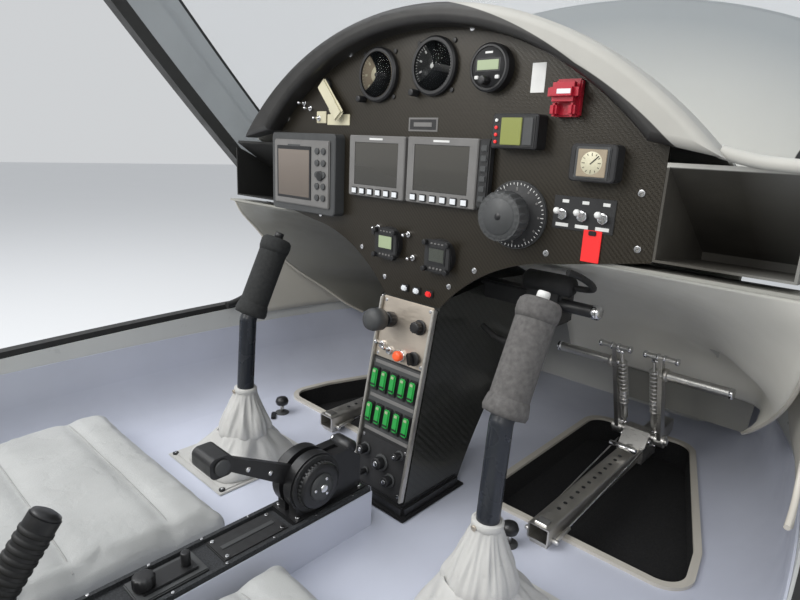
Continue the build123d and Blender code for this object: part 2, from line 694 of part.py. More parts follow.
with BuildPart() as hood_rim:
    with BuildSketch(cross(PANEL_Y)):
        with BuildLine():
            ThreePointArc((-HOOD_HALF, HOOD_TIP_Z), (0, HOOD_TOP_Z), (HOOD_HALF, HOOD_TIP_Z))
            Line((HOOD_HALF, HOOD_TIP_Z), (RIM_IN_HALF, RIM_IN_Z))
            ThreePointArc((RIM_IN_HALF, RIM_IN_Z), (0, RIM_IN_TOP_Z), (-RIM_IN_HALF, RIM_IN_Z))
            Line((-RIM_IN_HALF, RIM_IN_Z), (-HOOD_HALF, HOOD_TIP_Z))
        make_face()
    extrude(amount=RIM_DEEP)
    fillet(hood_rim.faces().sort_by(Axis.Y)[0].edges(), 11)
keep(hood_rim, "hood_rim")


def cover_section(row, inset, low_out, low_z):
    """Arch of the cover moved inward by inset, closed by a box low_out wide below its edge."""
    y, half, edge_z, top_z = row
    corner = half - inset
    shoulder_z = edge_z - 1 - inset
    right_side = [(corner, edge_z), (corner, shoulder_z)]
    if low_out > corner:
        right_side.append((low_out, shoulder_z))
    right_side.append((low_out, low_z))
    with BuildSketch(cross(y)) as section:
        with BuildLine():
            ThreePointArc((-corner, edge_z), (0, top_z - inset), (corner, edge_z))
            Polyline(*right_side, *[(-x, z) for x, z in reversed(right_side)])
        make_face()
    return section.sketch


with BuildPart() as glareshield:
    loft([cover_section(row, 0, row[1], row[2] - 3) for row in COVER_SECTIONS])
    loft([cover_section(row, COVER, row[1] - COVER, FLOOR_Z) for row in COVER_SECTIONS], mode=Mode.SUBTRACT)
    add(room.part, mode=Mode.INTERSECT)
keep(glareshield, "glareshield")

# Glove trays beside the panel, open towards the seats
TRAY_OUT = 512.0
TRAY_SHEET = 3.0
TRAY_DEEP = 190.0
with BuildPart() as glove_trays:
    for hand in (-1, 1):
        inner, outer = PANEL_HALF + SEAT_GAP, TRAY_OUT
        middle, wide = (inner + outer) / 2, outer - inner
        with BuildSketch(side(hand * middle - wide / 2)):
            with BuildLine():
                Polyline((PANEL_Y, 373), (PANEL_Y + TRAY_DEEP, 352), (PANEL_Y + TRAY_DEEP, 370),
                         (PANEL_Y, 486), close=True)
            make_face()
        extrude(amount=wide)
    add(room.part, mode=Mode.INTERSECT)
    for hand in (-1, 1):
        inner = PANEL_HALF + SEAT_GAP + TRAY_SHEET
        outer = TRAY_OUT - TRAY_SHEET
        with BuildSketch(side(hand * (inner + outer) / 2 - (outer - inner) / 2)):
            with BuildLine():
                Polyline((PANEL_Y - 1, 376), (PANEL_Y + TRAY_DEEP - 4, 356), (PANEL_Y + TRAY_DEEP - 4, 367),
                         (PANEL_Y - 1, 482), close=True)
            make_face()
        extrude(amount=outer - inner, mode=Mode.SUBTRACT)
keep(glove_trays, "glove_trays")

# Knee covers: a curved sheet on each side from the panel down to the front of the footwell
KNEE_IN = 186.0
KNEE_SHEET = 4.0
KNEE_GAP = 1.5       # under the deck
KNEE_TOP = (PANEL_Y + PANEL + SEAT_GAP, 362.0)
KNEE_MIDDLE = (1600.0, 272.0)
KNEE_FOOT = (1840.0, -20.0)
# The covers' outer edge in plan stays clear of the canopy's swing: X, Y
KNEE_EDGE = [(548.0, PANEL_Y), (548.0, 1430.0), (478.0, 1530.0), (452.0, 1700.0), (400.0, 1900.0)]

with BuildPart() as under_cover:
    loft([cover_section(row, COVER + KNEE_GAP, WIDE, FLOOR_Z) for row in COVER_SECTIONS])
    add(slab(COVER_SECTIONS[-1][0], FIREWALL_Y))

with BuildPart() as knee_covers:
    for hand in (-1, 1):
        with BuildSketch(side(hand * (KNEE_IN + WIDE / 2) - WIDE / 2)):
            with BuildLine():
                ThreePointArc(KNEE_TOP, KNEE_MIDDLE, KNEE_FOOT)
                offset(amount=KNEE_SHEET, side=Side.RIGHT)
            make_face()
        extrude(amount=WIDE)
    add(room.part, mode=Mode.INTERSECT)
    add(under_cover.part, mode=Mode.INTERSECT)
    with BuildSketch(level(FLOOR_Z)):
        with BuildLine():
            Polyline(*KNEE_EDGE, *[(-x, y) for x, y in reversed(KNEE_EDGE)], close=True)
        make_face()
    extrude(amount=WIDE, mode=Mode.INTERSECT)
keep(knee_covers, "knee_covers")

# Pedestal: a closed carbon box from the floor up under the panel and forward to the firewall
FACE_LOW = (1240.0, -78.0)
PEDESTAL_WALL = 4.0
FACE_PLATE = 4.0
FACE_HALF = 57.0
face_run = (PANEL_Y - FACE_LOW[0], FOOT_Z - FACE_LOW[1])
face_length = hypot(*face_run)
face_out = (0, -face_run[1] / face_length, face_run[0] / face_length)
BEAM_LOW_Z, BEAM_TOP_Z = 205.0, 246.0
foot_y = FACE_LOW[0] + (FLOOR_Z - FACE_LOW[1]) * face_run[0] / face_run[1]


def face_plane(out, up=0.0):
    """Plane on the pedestal's sloping face: local x is X, local y runs up the face."""
    return Plane(origin=(0, FACE_LOW[0] + face_out[1] * out + up * face_run[0] / face_length,
                         FACE_LOW[1] + face_out[2] * out + up * face_run[1] / face_length),
                 x_dir=(1, 0, 0), z_dir=face_out)


def pedestal_side(x, inset):
    """Side outline of the pedestal on the plane at x, its edges moved inward by inset."""
    beam_end = FIREWALL_Y - FIREWALL - SEAT_GAP
    with BuildSketch(side(x)) as outline:
        with BuildLine():
            Polyline((PANEL_Y + PANEL, FOOT_Z + 10), (PANEL_Y + PANEL, FOOT_Z), (PANEL_Y, FOOT_Z),
                     (foot_y, FLOOR_Z), (1378, FLOOR_Z))
            ThreePointArc((1378, FLOOR_Z), (1478, 60), (1640, BEAM_LOW_Z))
            Polyline((1640, BEAM_LOW_Z), (beam_end, BEAM_LOW_Z - 10), (beam_end, BEAM_TOP_Z - 8),
                     (1460, 274), (PANEL_Y + PANEL, FOOT_Z + 10))
        make_face()
        if inset:
            offset(amount=-inset, kind=Kind.INTERSECTION)
    return outline.sketch


with BuildPart() as pedestal_shell:
    extrude(pedestal_side(-FOOT_HALF, 0), amount=2 * FOOT_HALF)
    extrude(pedestal_side(PEDESTAL_WALL - FOOT_HALF, PEDESTAL_WALL),
            amount=2 * (FOOT_HALF - PEDESTAL_WALL), mode=Mode.SUBTRACT)
    with BuildSketch(face_plane(0)):
        with Locations((0, face_length / 2)):
            Rectangle(2 * FOOT_HALF - 18, face_length - 20)
    extrude(amount=-9, mode=Mode.SUBTRACT)
keep(pedestal_shell, "pedestal_shell")

with BuildPart() as pedestal_face:
    with BuildSketch(face_plane(0)):
        with Locations((0, face_length / 2 - 1)):
            Rectangle(2 * FACE_HALF, face_length - 4)
    extrude(amount=FACE_PLATE)
keep(pedestal_face, "pedestal_face")

# Breakers: two rows of five rockers on a plate
BREAKER_ROWS = (187.0, 127.0)
BREAKER_STEP = 21.0
with BuildPart() as breakers:
    for up in BREAKER_ROWS:
        with BuildSketch(face_plane(FACE_PLATE)):
            with Locations((0, up)):
                Rectangle(108, 44)
        extrude(amount=2)
        with BuildSketch(face_plane(FACE_PLATE + 2)):
            with Locations((0, up)):
                with GridLocations(BREAKER_STEP, 1, 5, 1):
                    RectangleRounded(13, 34, 2)
        extrude(amount=7)
keep(breakers, "breakers")

# Knobs, toggles and buttons on the pedestal: X, distance up the face, radius, height
PEDESTAL_KNOBS = [
    (-30.0, 292.0, 17.0, 42.0),
    (33.0, 293.0, 9.0, 16.0),
    (-40.0, 246.0, 5.0, 20.0),
    (-22.0, 240.0, 5.0, 20.0),
    (4.0, 238.0, 8.0, 12.0),
    (33.0, 241.0, 10.0, 14.0),
    (-38.0, 62.0, 10.0, 18.0),
    (2.0, 52.0, 12.0, 18.0),
    (38.0, 78.0, 8.0, 16.0),
    (26.0, 30.0, 10.0, 16.0),
]
with BuildPart() as pedestal_knobs:
    for x, up, radius, height in PEDESTAL_KNOBS:
        with BuildSketch(face_plane(FACE_PLATE)):
            with Locations((x, up)):
                Circle(radius * 0.55)
        extrude(amount=height)
        with BuildSketch(face_plane(FACE_PLATE + height * 0.4)):
            with Locations((x, up)):
                Circle(radius)
        extrude(amount=height * 0.6)
keep(pedestal_knobs, "pedestal_knobs")

# Sticks: a cross joint on the floor, a boot round it, and a bent tube with a foam grip
STICK_X = 270.0
PIVOT_Y, PIVOT_Z = 1150.0, -58.0
CROSS_PIN_R = 5.0
CROSS_HALF = 13.0
EAR = 6.0
BASE_PLATE = 6.0
FORK_IN = CROSS_HALF + 4.0
FORK = 6.0
TUBE_R = 15.0
TUBE_TOP = (1165.0, 176.0)
GRIP_TOP = (1230.0, 314.0)
GRIP_R = 25.0
BOOT_PLATE = (186.0, 206.0)
BOOT_SHEET = 3.0
BOOT_TOP_Z, BOOT_TOP_R = -34.0, 46.0


def slanted(start, end, x):
    """Plane at start, facing along the line to end; both are (Y, Z)."""
    run = (0, end[0] - start[0], end[1] - start[1])
    return Plane(origin=(x, start[0], start[1]), x_dir=(1, 0, 0), z_dir=run)


def along(start, end):
    return hypot(end[0] - start[0], end[1] - start[1])


for hand, name in ((-1, "left"), (1, "right")):
    x = hand * STICK_X
    with BuildPart() as stick_base:
        with BuildSketch(level(FLOOR_Z)):
            with Locations((x, PIVOT_Y)):
                RectangleRounded(60, 74, 8)
        extrude(amount=BASE_PLATE)
        for fore in (-1, 1):
            ear_front = PIVOT_Y + fore * (FORK_IN + FORK + 4) + (fore + 1) / 2 * EAR
            with BuildSketch(cross(ear_front)):
                with Locations((x, PIVOT_Z)):
                    Circle(11)
                with Locations((x, (FLOOR_Z + PIVOT_Z) / 2)):
                    Rectangle(22, PIVOT_Z - FLOOR_Z)
                with Locations((x, PIVOT_Z)):
                    Circle(CROSS_PIN_R + BORE_GAP, mode=Mode.SUBTRACT)
            extrude(amount=EAR)
    keep(stick_base, "stick_base_" + name)

    with BuildPart() as gimbal:
        with BuildSketch(cross(PIVOT_Y + CROSS_HALF)):
            with Locations((x, PIVOT_Z)):
                RectangleRounded(2 * CROSS_HALF, 22, 3)
        extrude(amount=2 * CROSS_HALF)
        pin_half = FORK_IN + FORK + 4 + EAR
        with BuildSketch(cross(PIVOT_Y + pin_half)):
            with Locations((x, PIVOT_Z)):
                Circle(CROSS_PIN_R)
        extrude(amount=2 * pin_half)
        with BuildSketch(side(x - FORK_IN - FORK)):
            with Locations((PIVOT_Y, PIVOT_Z)):
                Circle(CROSS_PIN_R)
        extrude(amount=2 * (FORK_IN + FORK))
    keep(gimbal, "gimbal_" + name)

    with BuildPart() as stick:
        for reach in (-FORK_IN - FORK, FORK_IN):
            with BuildSketch(side(x + reach)):
                with Locations((PIVOT_Y, PIVOT_Z)):
                    Circle(11)
                with Locations((PIVOT_Y, PIVOT_Z + 16)):
                    Rectangle(18, 32)
                with Locations((PIVOT_Y, PIVOT_Z)):
                    Circle(CROSS_PIN_R + BORE_GAP, mode=Mode.SUBTRACT)
            extrude(amount=FORK)
        with BuildSketch(level(PIVOT_Z + 26)):
            with Locations((x, PIVOT_Y)):
                RectangleRounded(2 * (FORK_IN + FORK), 26, 5)
        extrude(amount=10)
        tube_foot = (PIVOT_Y + 1, PIVOT_Z + 30)
        with BuildSketch(slanted(tube_foot, TUBE_TOP, x)):
            Circle(TUBE_R)
        extrude(amount=along(tube_foot, TUBE_TOP))
        with Locations((x, *TUBE_TOP)):
            Sphere(TUBE_R)
        with BuildSketch(slanted(TUBE_TOP, GRIP_TOP, x)):
            Circle(TUBE_R)
        extrude(amount=along(TUBE_TOP, GRIP_TOP) + 2)
        with BuildSketch(slanted(GRIP_TOP, (GRIP_TOP[0] + 65, GRIP_TOP[1] + 138), x)):
            Circle(7)
        extrude(amount=14)
    keep(stick, "stick_" + name)

    with BuildPart() as grip:
        grip_foot = (TUBE_TOP[0] + 8, TUBE_TOP[1] + 17)
        with BuildSketch(slanted(grip_foot, GRIP_TOP, x)):
            Circle(GRIP_R)
            Circle(TUBE_R + SEAT_GAP, mode=Mode.SUBTRACT)
        extrude(amount=along(grip_foot, GRIP_TOP))
        fillet(grip.faces().sort_by(Axis.Z)[-1].edges().sort_by(SortBy.LENGTH)[-1], 6)
    keep(grip, "grip_" + name)

    with BuildPart() as boot:
        with BuildSketch(level(FLOOR_Z)):
            with Locations((x + hand * 16, PIVOT_Y + 6)):
                RectangleRounded(*BOOT_PLATE, 14)
        extrude(amount=BOOT_SHEET)
        with BuildSketch(level(FLOOR_Z)) as low_outer:
            with Locations((x + hand * 8, PIVOT_Y + 3)):
                RectangleRounded(150, 166, 40)
        with BuildSketch(level(BOOT_TOP_Z)) as top_outer:
            with Locations((x, PIVOT_Y)):
                RectangleRounded(2 * BOOT_TOP_R, 2 * BOOT_TOP_R, BOOT_TOP_R - 2)
        loft([low_outer.sketch, top_outer.sketch])
        with BuildSketch(level(FLOOR_Z)) as low_inner:
            with Locations((x + hand * 8, PIVOT_Y + 3)):
                RectangleRounded(150 - 2 * BOOT_SHEET, 166 - 2 * BOOT_SHEET, 40 - BOOT_SHEET)
        with BuildSketch(level(BOOT_TOP_Z)) as top_inner:
            with Locations((x, PIVOT_Y)):
                RectangleRounded(2 * (BOOT_TOP_R - BOOT_SHEET), 2 * (BOOT_TOP_R - BOOT_SHEET),
                                 BOOT_TOP_R - BOOT_SHEET - 2)
        loft([low_inner.sketch, top_inner.sketch], mode=Mode.SUBTRACT)
    keep(boot, "boot_" + name)

    with BuildPart() as sleeve:
        run_y, run_z = TUBE_TOP[0] - tube_foot[0], TUBE_TOP[1] - tube_foot[1]
        half_section = Plane(origin=(x, *tube_foot), x_dir=(1, 0, 0), z_dir=(0, -run_z, run_y))
        with BuildSketch(half_section):
            with BuildLine():
                Polyline((TUBE_R + 0.4, 68), (TUBE_R + 5, 68), (TUBE_R + 6, 34), (41, 22),
                         (41, 19), (TUBE_R + 0.4, 31), close=True)
            make_face()
        revolve(axis=Axis((x, *tube_foot), (0, run_y, run_z)), revolution_arc=360)
    keep(sleeve, "boot_sleeve_" + name)

# Pedals: a rail over each footwell, a carriage with a cross shaft, and two pedals on it
RAIL_X = 252.0
RAIL_WIDE, RAIL_HIGH, RAIL_WALL = 36.0, 28.0, 2.5
RAIL_REAR_Y, RAIL_FRONT_Y = 1336.0, 1894.0
RAIL_FOOT = 8.0
SHAFT_Y, SHAFT_Z, SHAFT_R = 1730.0, -46.0, 7.0
PEDAL_OUT = 42.0
HUB_WIDE, HUB_R = 18.0, 13.0
PEDAL_TOP = (1650.0, 146.0)
BAR_Z = 112.0
BAR_R = 9.0
BAR_LONG = 116.0
ARM_THICK = 8.0

with BuildPart() as pedal_rails:
    for hand in (-1, 1):
        with BuildSketch(cross(RAIL_FRONT_Y)):
            with Locations((hand * RAIL_X, FLOOR_Z + RAIL_FOOT + RAIL_HIGH / 2)):
                RectangleRounded(RAIL_WIDE, RAIL_HIGH, 3)
                Rectangle(RAIL_WIDE - 2 * RAIL_WALL, RAIL_HIGH - 2 * RAIL_WALL, mode=Mode.SUBTRACT)
        extrude(amount=RAIL_FRONT_Y - RAIL_REAR_Y)
        with BuildSketch(level(FLOOR_Z)):
            for foot_middle in (RAIL_REAR_Y + 16, RAIL_FRONT_Y - 12):
                with Locations((hand * RAIL_X, foot_middle)):
                    Rectangle(30, 22)
        extrude(amount=RAIL_FOOT)
keep(pedal_rails, "pedal_rails")

with BuildPart() as pedal_carriages:
    for hand in (-1, 1):
        with BuildSketch(side(hand * RAIL_X - 25)):
            with BuildLine():
                Polyline((1694, -93), (1768, -93), (1768, -62), (SHAFT_Y + 12, -34), (SHAFT_Y - 12, -34),
                         (1694, -62), close=True)
            make_face()
        extrude(amount=50)
        with BuildSketch(cross(1800)):
            with Locations((hand * RAIL_X, FLOOR_Z + RAIL_FOOT + RAIL_HIGH / 2)):
                Rectangle(RAIL_WIDE + 2 * SEAT_GAP, RAIL_HIGH + 2 * SEAT_GAP)
        extrude(amount=140, mode=Mode.SUBTRACT)
        add(pin_across(hand * RAIL_X, SHAFT_Y, SHAFT_Z, SHAFT_R, 2 * (PEDAL_OUT + HUB_WIDE / 2 + 4)))
keep(pedal_carriages, "pedal_carriages")

for hand, seat in ((-1, "left"), (1, "right")):
    for foot, which in ((-1, "left"), (1, "right")):
        arm_x = hand * RAIL_X + foot * PEDAL_OUT
        with BuildPart() as pedal:
            add(pin_across(arm_x, SHAFT_Y, SHAFT_Z, HUB_R, HUB_WIDE))
            with BuildSketch(side(arm_x - ARM_THICK / 2)):
                with BuildLine():
                    Polyline((SHAFT_Y - 11, SHAFT_Z), (SHAFT_Y + 11, SHAFT_Z), (PEDAL_TOP[0] + 8, PEDAL_TOP[1]),
                             (PEDAL_TOP[0] - 8, PEDAL_TOP[1]), close=True)
                make_face()
            extrude(amount=ARM_THICK)
            share = (BAR_Z - SHAFT_Z) / (PEDAL_TOP[1] - SHAFT_Z)
            bar_y = SHAFT_Y + share * (PEDAL_TOP[0] - SHAFT_Y)
            add(pin_across(arm_x + foot * BAR_LONG / 2, bar_y, BAR_Z, BAR_R, BAR_LONG))
            add(pin_across(arm_x, PEDAL_TOP[0], PEDAL_TOP[1], 5, 54))
            add(pin_across(arm_x, SHAFT_Y, SHAFT_Z, SHAFT_R + BORE_GAP, HUB_WIDE + 2), mode=Mode.SUBTRACT)
        keep(pedal, f"pedal_{seat}_{which}")
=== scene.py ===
# %% [markdown]
# # Looks of a motor glider's cockpit section
#
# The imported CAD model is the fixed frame. This script gives every CAD piece its material, replaces the
# plain soft solids with upholstered ones, and adds what is too small for CAD: dial faces, screens,
# buttons, screws and seams. Everything is in metres: X right, Y forward, Z up.

import json
from math import cos, pi, radians, sin

import bmesh
import bpy
from mathutils import Matrix, Vector, noise
from mathutils.bvhtree import BVHTree

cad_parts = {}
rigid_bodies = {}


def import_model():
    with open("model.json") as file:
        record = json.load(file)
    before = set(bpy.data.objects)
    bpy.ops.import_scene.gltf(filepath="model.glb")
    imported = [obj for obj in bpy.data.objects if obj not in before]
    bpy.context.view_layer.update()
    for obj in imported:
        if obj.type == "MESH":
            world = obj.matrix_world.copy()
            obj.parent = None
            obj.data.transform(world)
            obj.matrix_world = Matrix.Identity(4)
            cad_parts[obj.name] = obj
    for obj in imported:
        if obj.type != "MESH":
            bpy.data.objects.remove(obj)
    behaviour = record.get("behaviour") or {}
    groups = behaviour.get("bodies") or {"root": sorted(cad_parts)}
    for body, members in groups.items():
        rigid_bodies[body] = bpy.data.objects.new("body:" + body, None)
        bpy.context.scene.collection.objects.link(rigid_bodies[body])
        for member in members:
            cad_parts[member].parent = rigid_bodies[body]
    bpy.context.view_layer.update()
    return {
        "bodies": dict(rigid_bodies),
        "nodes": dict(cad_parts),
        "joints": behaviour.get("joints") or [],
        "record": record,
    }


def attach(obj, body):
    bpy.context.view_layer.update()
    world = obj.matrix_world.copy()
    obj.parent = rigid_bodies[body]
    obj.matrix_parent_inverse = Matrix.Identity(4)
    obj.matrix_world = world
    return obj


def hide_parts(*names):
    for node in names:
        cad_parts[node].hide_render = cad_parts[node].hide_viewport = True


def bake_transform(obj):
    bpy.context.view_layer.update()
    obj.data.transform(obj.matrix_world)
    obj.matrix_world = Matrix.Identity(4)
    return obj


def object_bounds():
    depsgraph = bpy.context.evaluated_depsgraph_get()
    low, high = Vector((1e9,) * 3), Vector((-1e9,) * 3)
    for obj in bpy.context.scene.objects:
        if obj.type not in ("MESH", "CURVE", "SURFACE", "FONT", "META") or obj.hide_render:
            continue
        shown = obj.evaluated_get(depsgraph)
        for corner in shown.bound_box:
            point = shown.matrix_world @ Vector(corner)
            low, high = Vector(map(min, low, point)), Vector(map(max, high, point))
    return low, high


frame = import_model()
nodes = frame["nodes"]

# %% [markdown]
# ## Shader arithmetic
#
# `Term` wraps a node socket so that a pattern can be written as a formula. `Paint` is one material:
# constants are set on the sockets, and only a few inputs are ever driven by a pattern.

# %%
CANOPY_OPEN = 51.0  # degrees by which the canopy is raised
# Y and Z with the canopy closed: its hinge, and the point where its rim starts to curve up
HINGE = (1.7, 0.358)
RIM_TURN = (1.45, 0.108)
RIM_RADIUS = 0.24
RIM_ALONG = Vector((1.45, 0.048)).normalized()
SEAL_HIGH = 0.043  # black rubber along the canopy frame
BAND_HIGH, BAND_LINE = 0.15, (0.1435, 0.144)  # painted band on the glass, and the dark line at its end


class Term:
    """A value in a material's node tree, with arithmetic."""

    def __init__(self, paint, socket):
        self.paint, self.socket = paint, socket

    def math(self, operation, *others):
        return self.paint.node("ShaderNodeMath", self, *others, operation=operation)

    def __add__(self, other):
        return self.math("ADD", other)

    def __sub__(self, other):
        return self.math("SUBTRACT", other)

    def __mul__(self, other):
        return self.math("MULTIPLY", other)

    def __mod__(self, other):
        return self.math("FLOORED_MODULO", other)

    def __lt__(self, other):
        return self.math("LESS_THAN", other)

    def between(self, low, high):
        """0 below low, 1 above high, and straight in between."""
        return self.paint.node("ShaderNodeMapRange", self, low, high, 0.0, 1.0)


class Paint:
    """A material whose constants are given here and whose patterns are added by calls."""

    def __init__(self, name, colour, roughness, metallic=0.0, **constants):
        self.material = bpy.data.materials.new(name)
        self.material.use_nodes = True
        self.tree = self.material.node_tree
        self.shader = self.tree.nodes["Principled BSDF"]
        self.colour = colour
        self.shader.inputs["Base Color"].default_value = (*colour, 1)
        self.shader.inputs["Roughness"].default_value = roughness
        self.shader.inputs["Metallic"].default_value = metallic
        for key, value in constants.items():
            self.shader.inputs[key.replace("_", " ")].default_value = value
        self.place = Term(self, self.tree.nodes.new("ShaderNodeTexCoord").outputs["Object"])
        split = self.node("ShaderNodeSeparateXYZ", self.place)
        outputs = split.socket.node.outputs
        self.x, self.y, self.z = (Term(self, outputs[i]) for i in range(3))

    def node(self, kind, *values, output=0, **settings):
        """One node: values go to its inputs in order, settings are its own properties."""
        made = self.tree.nodes.new(kind)
        for key, value in settings.items():
            setattr(made, key, value)
        for socket, value in zip([s for s in made.inputs if s.enabled], values):
            if isinstance(value, Term):
                self.tree.links.new(value.socket, socket)
            elif value is not None:
                socket.default_value = value
        return Term(self, made.outputs[output])

    def noise(self, scale, detail=3.0, stretch=None):
        place = self.place
        if stretch:
            place = self.node("ShaderNodeMapping", self.place, None, None, stretch)
        return self.node("ShaderNodeTexNoise", place, scale, detail)

    def cells(self, scale):
        return self.node("ShaderNodeTexVoronoi", self.place, scale, feature="DISTANCE_TO_EDGE")

    def blend(self, factor, first, second):
        """A colour between two others."""
        mix = self.tree.nodes.new("ShaderNodeMix")
        mix.data_type = "RGBA"
        for index, value in ((0, factor), (6, first), (7, second)):
            if isinstance(value, Term):
                self.tree.links.new(value.socket, mix.inputs[index])
            else:
                mix.inputs[index].default_value = (*value, 1) if index else value
        return Term(self, mix.outputs[2])

    def drive(self, name, term):
        self.tree.links.new(term.socket, self.shader.inputs[name])

    def cloud(self, scale, low, high):
        """Slow change between two colours over the surface."""
        return self.blend(self.noise(scale, 4.0).between(0.3, 0.7), low, high)

    def mottle(self, amount, scale=6.0):
        """Slow change of colour over the surface, darker and lighter by amount."""
        low = tuple(c * (1 - amount) for c in self.colour)
        high = tuple(min(1.0, c * (1 + amount)) for c in self.colour)
        self.drive("Base Color", self.cloud(scale, low, high))
        return self

    def rough(self, low, high, scale=40.0, stretch=None):
        change = self.noise(scale, 3.0, stretch).between(0.3, 0.7)
        self.drive("Roughness", change * (high - low) + low)
        return self

    def closed(self):
        """Y and Z of a point of the raised canopy when it is closed."""
        turn = radians(CANOPY_OPEN)
        y, z = self.y - HINGE[0], self.z - HINGE[1]
        return y * cos(turn) - z * sin(turn) + HINGE[0], y * sin(turn) + z * cos(turn) + HINGE[1]

    def rim_ahead(self):
        """Distance ahead of the point where the canopy rim starts to curve up."""
        y, z = self.closed()
        return (y - RIM_TURN[0]) * RIM_ALONG[0] + (z - RIM_TURN[1]) * RIM_ALONG[1]

    def rim_height(self):
        """Height above the canopy rim's line."""
        y, z = self.closed()
        along = self.rim_ahead()
        straight = (z - RIM_TURN[1]) * RIM_ALONG[0] - (y - RIM_TURN[0]) * RIM_ALONG[1]
        off_y = y - (RIM_TURN[0] - RIM_RADIUS * RIM_ALONG[1])
        off_z = z - (RIM_TURN[1] + RIM_RADIUS * RIM_ALONG[0])
        arc = (off_y * off_y + off_z * off_z).math("SQRT") * -1 + RIM_RADIUS
        ahead = along.math("GREATER_THAN", 0.0)
        return straight + (arc - straight) * ahead

    def bump(self, height, distance, strength=1.0):
        relief = self.node("ShaderNodeBump", strength, distance, None, height)
        before = self.shader.inputs["Normal"].links
        if before:
            self.tree.links.new(before[0].from_socket, relief.socket.node.inputs["Normal"])
        self.drive("Normal", relief)
        return self


# %% [markdown]
# ## Materials
#
# One function a family, then one line a finish.

# %%
def shaded(colour, by):
    return tuple(c * by for c in colour)


def moulding(name, colour, roughness=0.42, wave=0.0004):
    """Painted laminate or plastic moulding: faint mottling, dust in the gloss, a soft ripple."""
    paint = Paint(name, colour, roughness, Coat_Weight=0.08)
    paint.mottle(0.05).rough(roughness - 0.08, roughness + 0.12, 30)
    return paint.bump(paint.noise(9, 2.0), wave, 0.5).bump(paint.noise(600, 2.0), 0.00004, 0.5)


def plastic(name, colour, roughness=0.5, grain=0.00008):
    paint = Paint(name, colour, roughness)
    paint.mottle(0.08, 30).rough(roughness - 0.06, roughness + 0.1, 80)
    return paint.bump(paint.cells(900), grain, 0.6)


def metal(name, colour, roughness=0.3, stretch=(1, 1, 14)):
    """Bare or anodised metal with fine drawn lines."""
    paint = Paint(name, colour, roughness, 1.0)
    paint.mottle(0.1, 12).rough(roughness - 0.08, roughness + 0.14, 60, stretch)
    return paint.bump(paint.noise(420, 2.0, stretch), 0.00005, 0.5)


def leather(name, colour, roughness=0.48):
    """Fine pebbled hide: cell edges for the grain, slow noise for creases and soiling."""
    paint = Paint(name, colour, roughness, Sheen_Weight=0.1)
    paint.mottle(0.09, 9).rough(roughness - 0.1, roughness + 0.12, 55)
    fold = (paint.noise(13, 4.0) * 2 - 1).math("ABSOLUTE").between(0.0, 0.12)
    paint.bump(paint.noise(28, 5.0), 0.0012, 0.35).bump(fold, 0.0011, 0.4)
    return paint.bump(paint.cells(420).between(0.0, 0.12), 0.00025, 0.5)


def banded_frame(name, colour):
    """Canopy frame: moulded grey, with the black rubber of its seal along the rim."""
    paint = moulding(name, colour, 0.42)
    rubber = paint.rim_height() < SEAL_HIGH
    shade = paint.cloud(7, shaded(colour, 0.93), shaded(colour, 1.07))
    paint.drive("Base Color", paint.blend(rubber, shade, (0.012, 0.012, 0.011)))
    return paint


def banded_glass(name, colour, alpha):
    """Clear canopy whose edge is painted over as a broad grey band with a dark line at its end."""
    paint = Paint(name, colour, 0.03, IOR=1.45)
    ahead = paint.rim_ahead().between(0.02, 0.14)
    height = paint.rim_height() + ahead * 0.052
    band = height < BAND_HIGH
    line = height.between(*BAND_LINE)
    grey = paint.blend(ahead, (0.36, 0.38, 0.39), (0.66, 0.65, 0.6))
    shade = paint.blend(line, grey, (0.015, 0.016, 0.016))
    paint.drive("Base Color", paint.blend(band, colour, shade))
    edge = paint.node("ShaderNodeFresnel", 1.35)
    paint.drive("Alpha", (edge * (1 - alpha) + alpha).math("MAXIMUM", band))
    paint.drive("Roughness", band * 0.4 + 0.03)
    return paint.bump(paint.noise(5, 2.0), 0.0003, 0.2)


def hood_rim(name, black, deck):
    """Black lip towards the pilots; the outer flank ahead of it has the deck's pale paint."""
    paint = Paint(name, black, 0.45)
    facing = paint.node("ShaderNodeNewGeometry", output=1)
    upward = paint.node("ShaderNodeSeparateXYZ", facing, output=2).math("GREATER_THAN", 0.1)
    reach = (paint.x * paint.x + (paint.z - 0.1) * (paint.z - 0.1)).math("SQRT")
    right_side = paint.x.between(0.04, 0.26) * 0.03
    ahead = upward * paint.y.between(1.2715, 1.273)
    flank = ahead.math("MAXIMUM", (reach + right_side).between(0.5855, 0.5865))
    grain = paint.noise(40, 3.0).between(0.3, 0.7)
    dark = paint.blend(grain, black, shaded(black, 1.5))
    pale = paint.blend(grain, shaded(deck, 0.95), deck)
    paint.drive("Base Color", paint.blend(flank, dark, pale))
    return paint.bump(paint.cells(700), 0.00012, 0.5)


def tray(name, inside, left, deck):
    """Dark inside, paler roof and lip. The left tray lies in shade behind the panel's end, and its darker
    colour is painted shade; towards its outer end the right tray takes a darkened copy of the deck's paint,
    also painted shade.
    """
    paint = Paint(name, inside, 0.7)
    mottled = paint.cloud(14, inside, shaded(inside, 1.5))
    # Painted shade: the right tray's outer end is a darkened copy of the deck's paint, and the left tray has
    # its own darker colour.
    right = paint.blend(paint.x.between(0.44, 0.5), mottled, shaded(deck, 0.35))
    side = paint.blend(paint.x < 0.0, right, left)
    roof = paint.z.between(0.48, 0.4815) * paint.x.math("GREATER_THAN", 0.0)
    paint.drive("Base Color", paint.blend(roof, side, deck))
    return paint.bump(paint.noise(500, 3.0), 0.0003, 0.6)


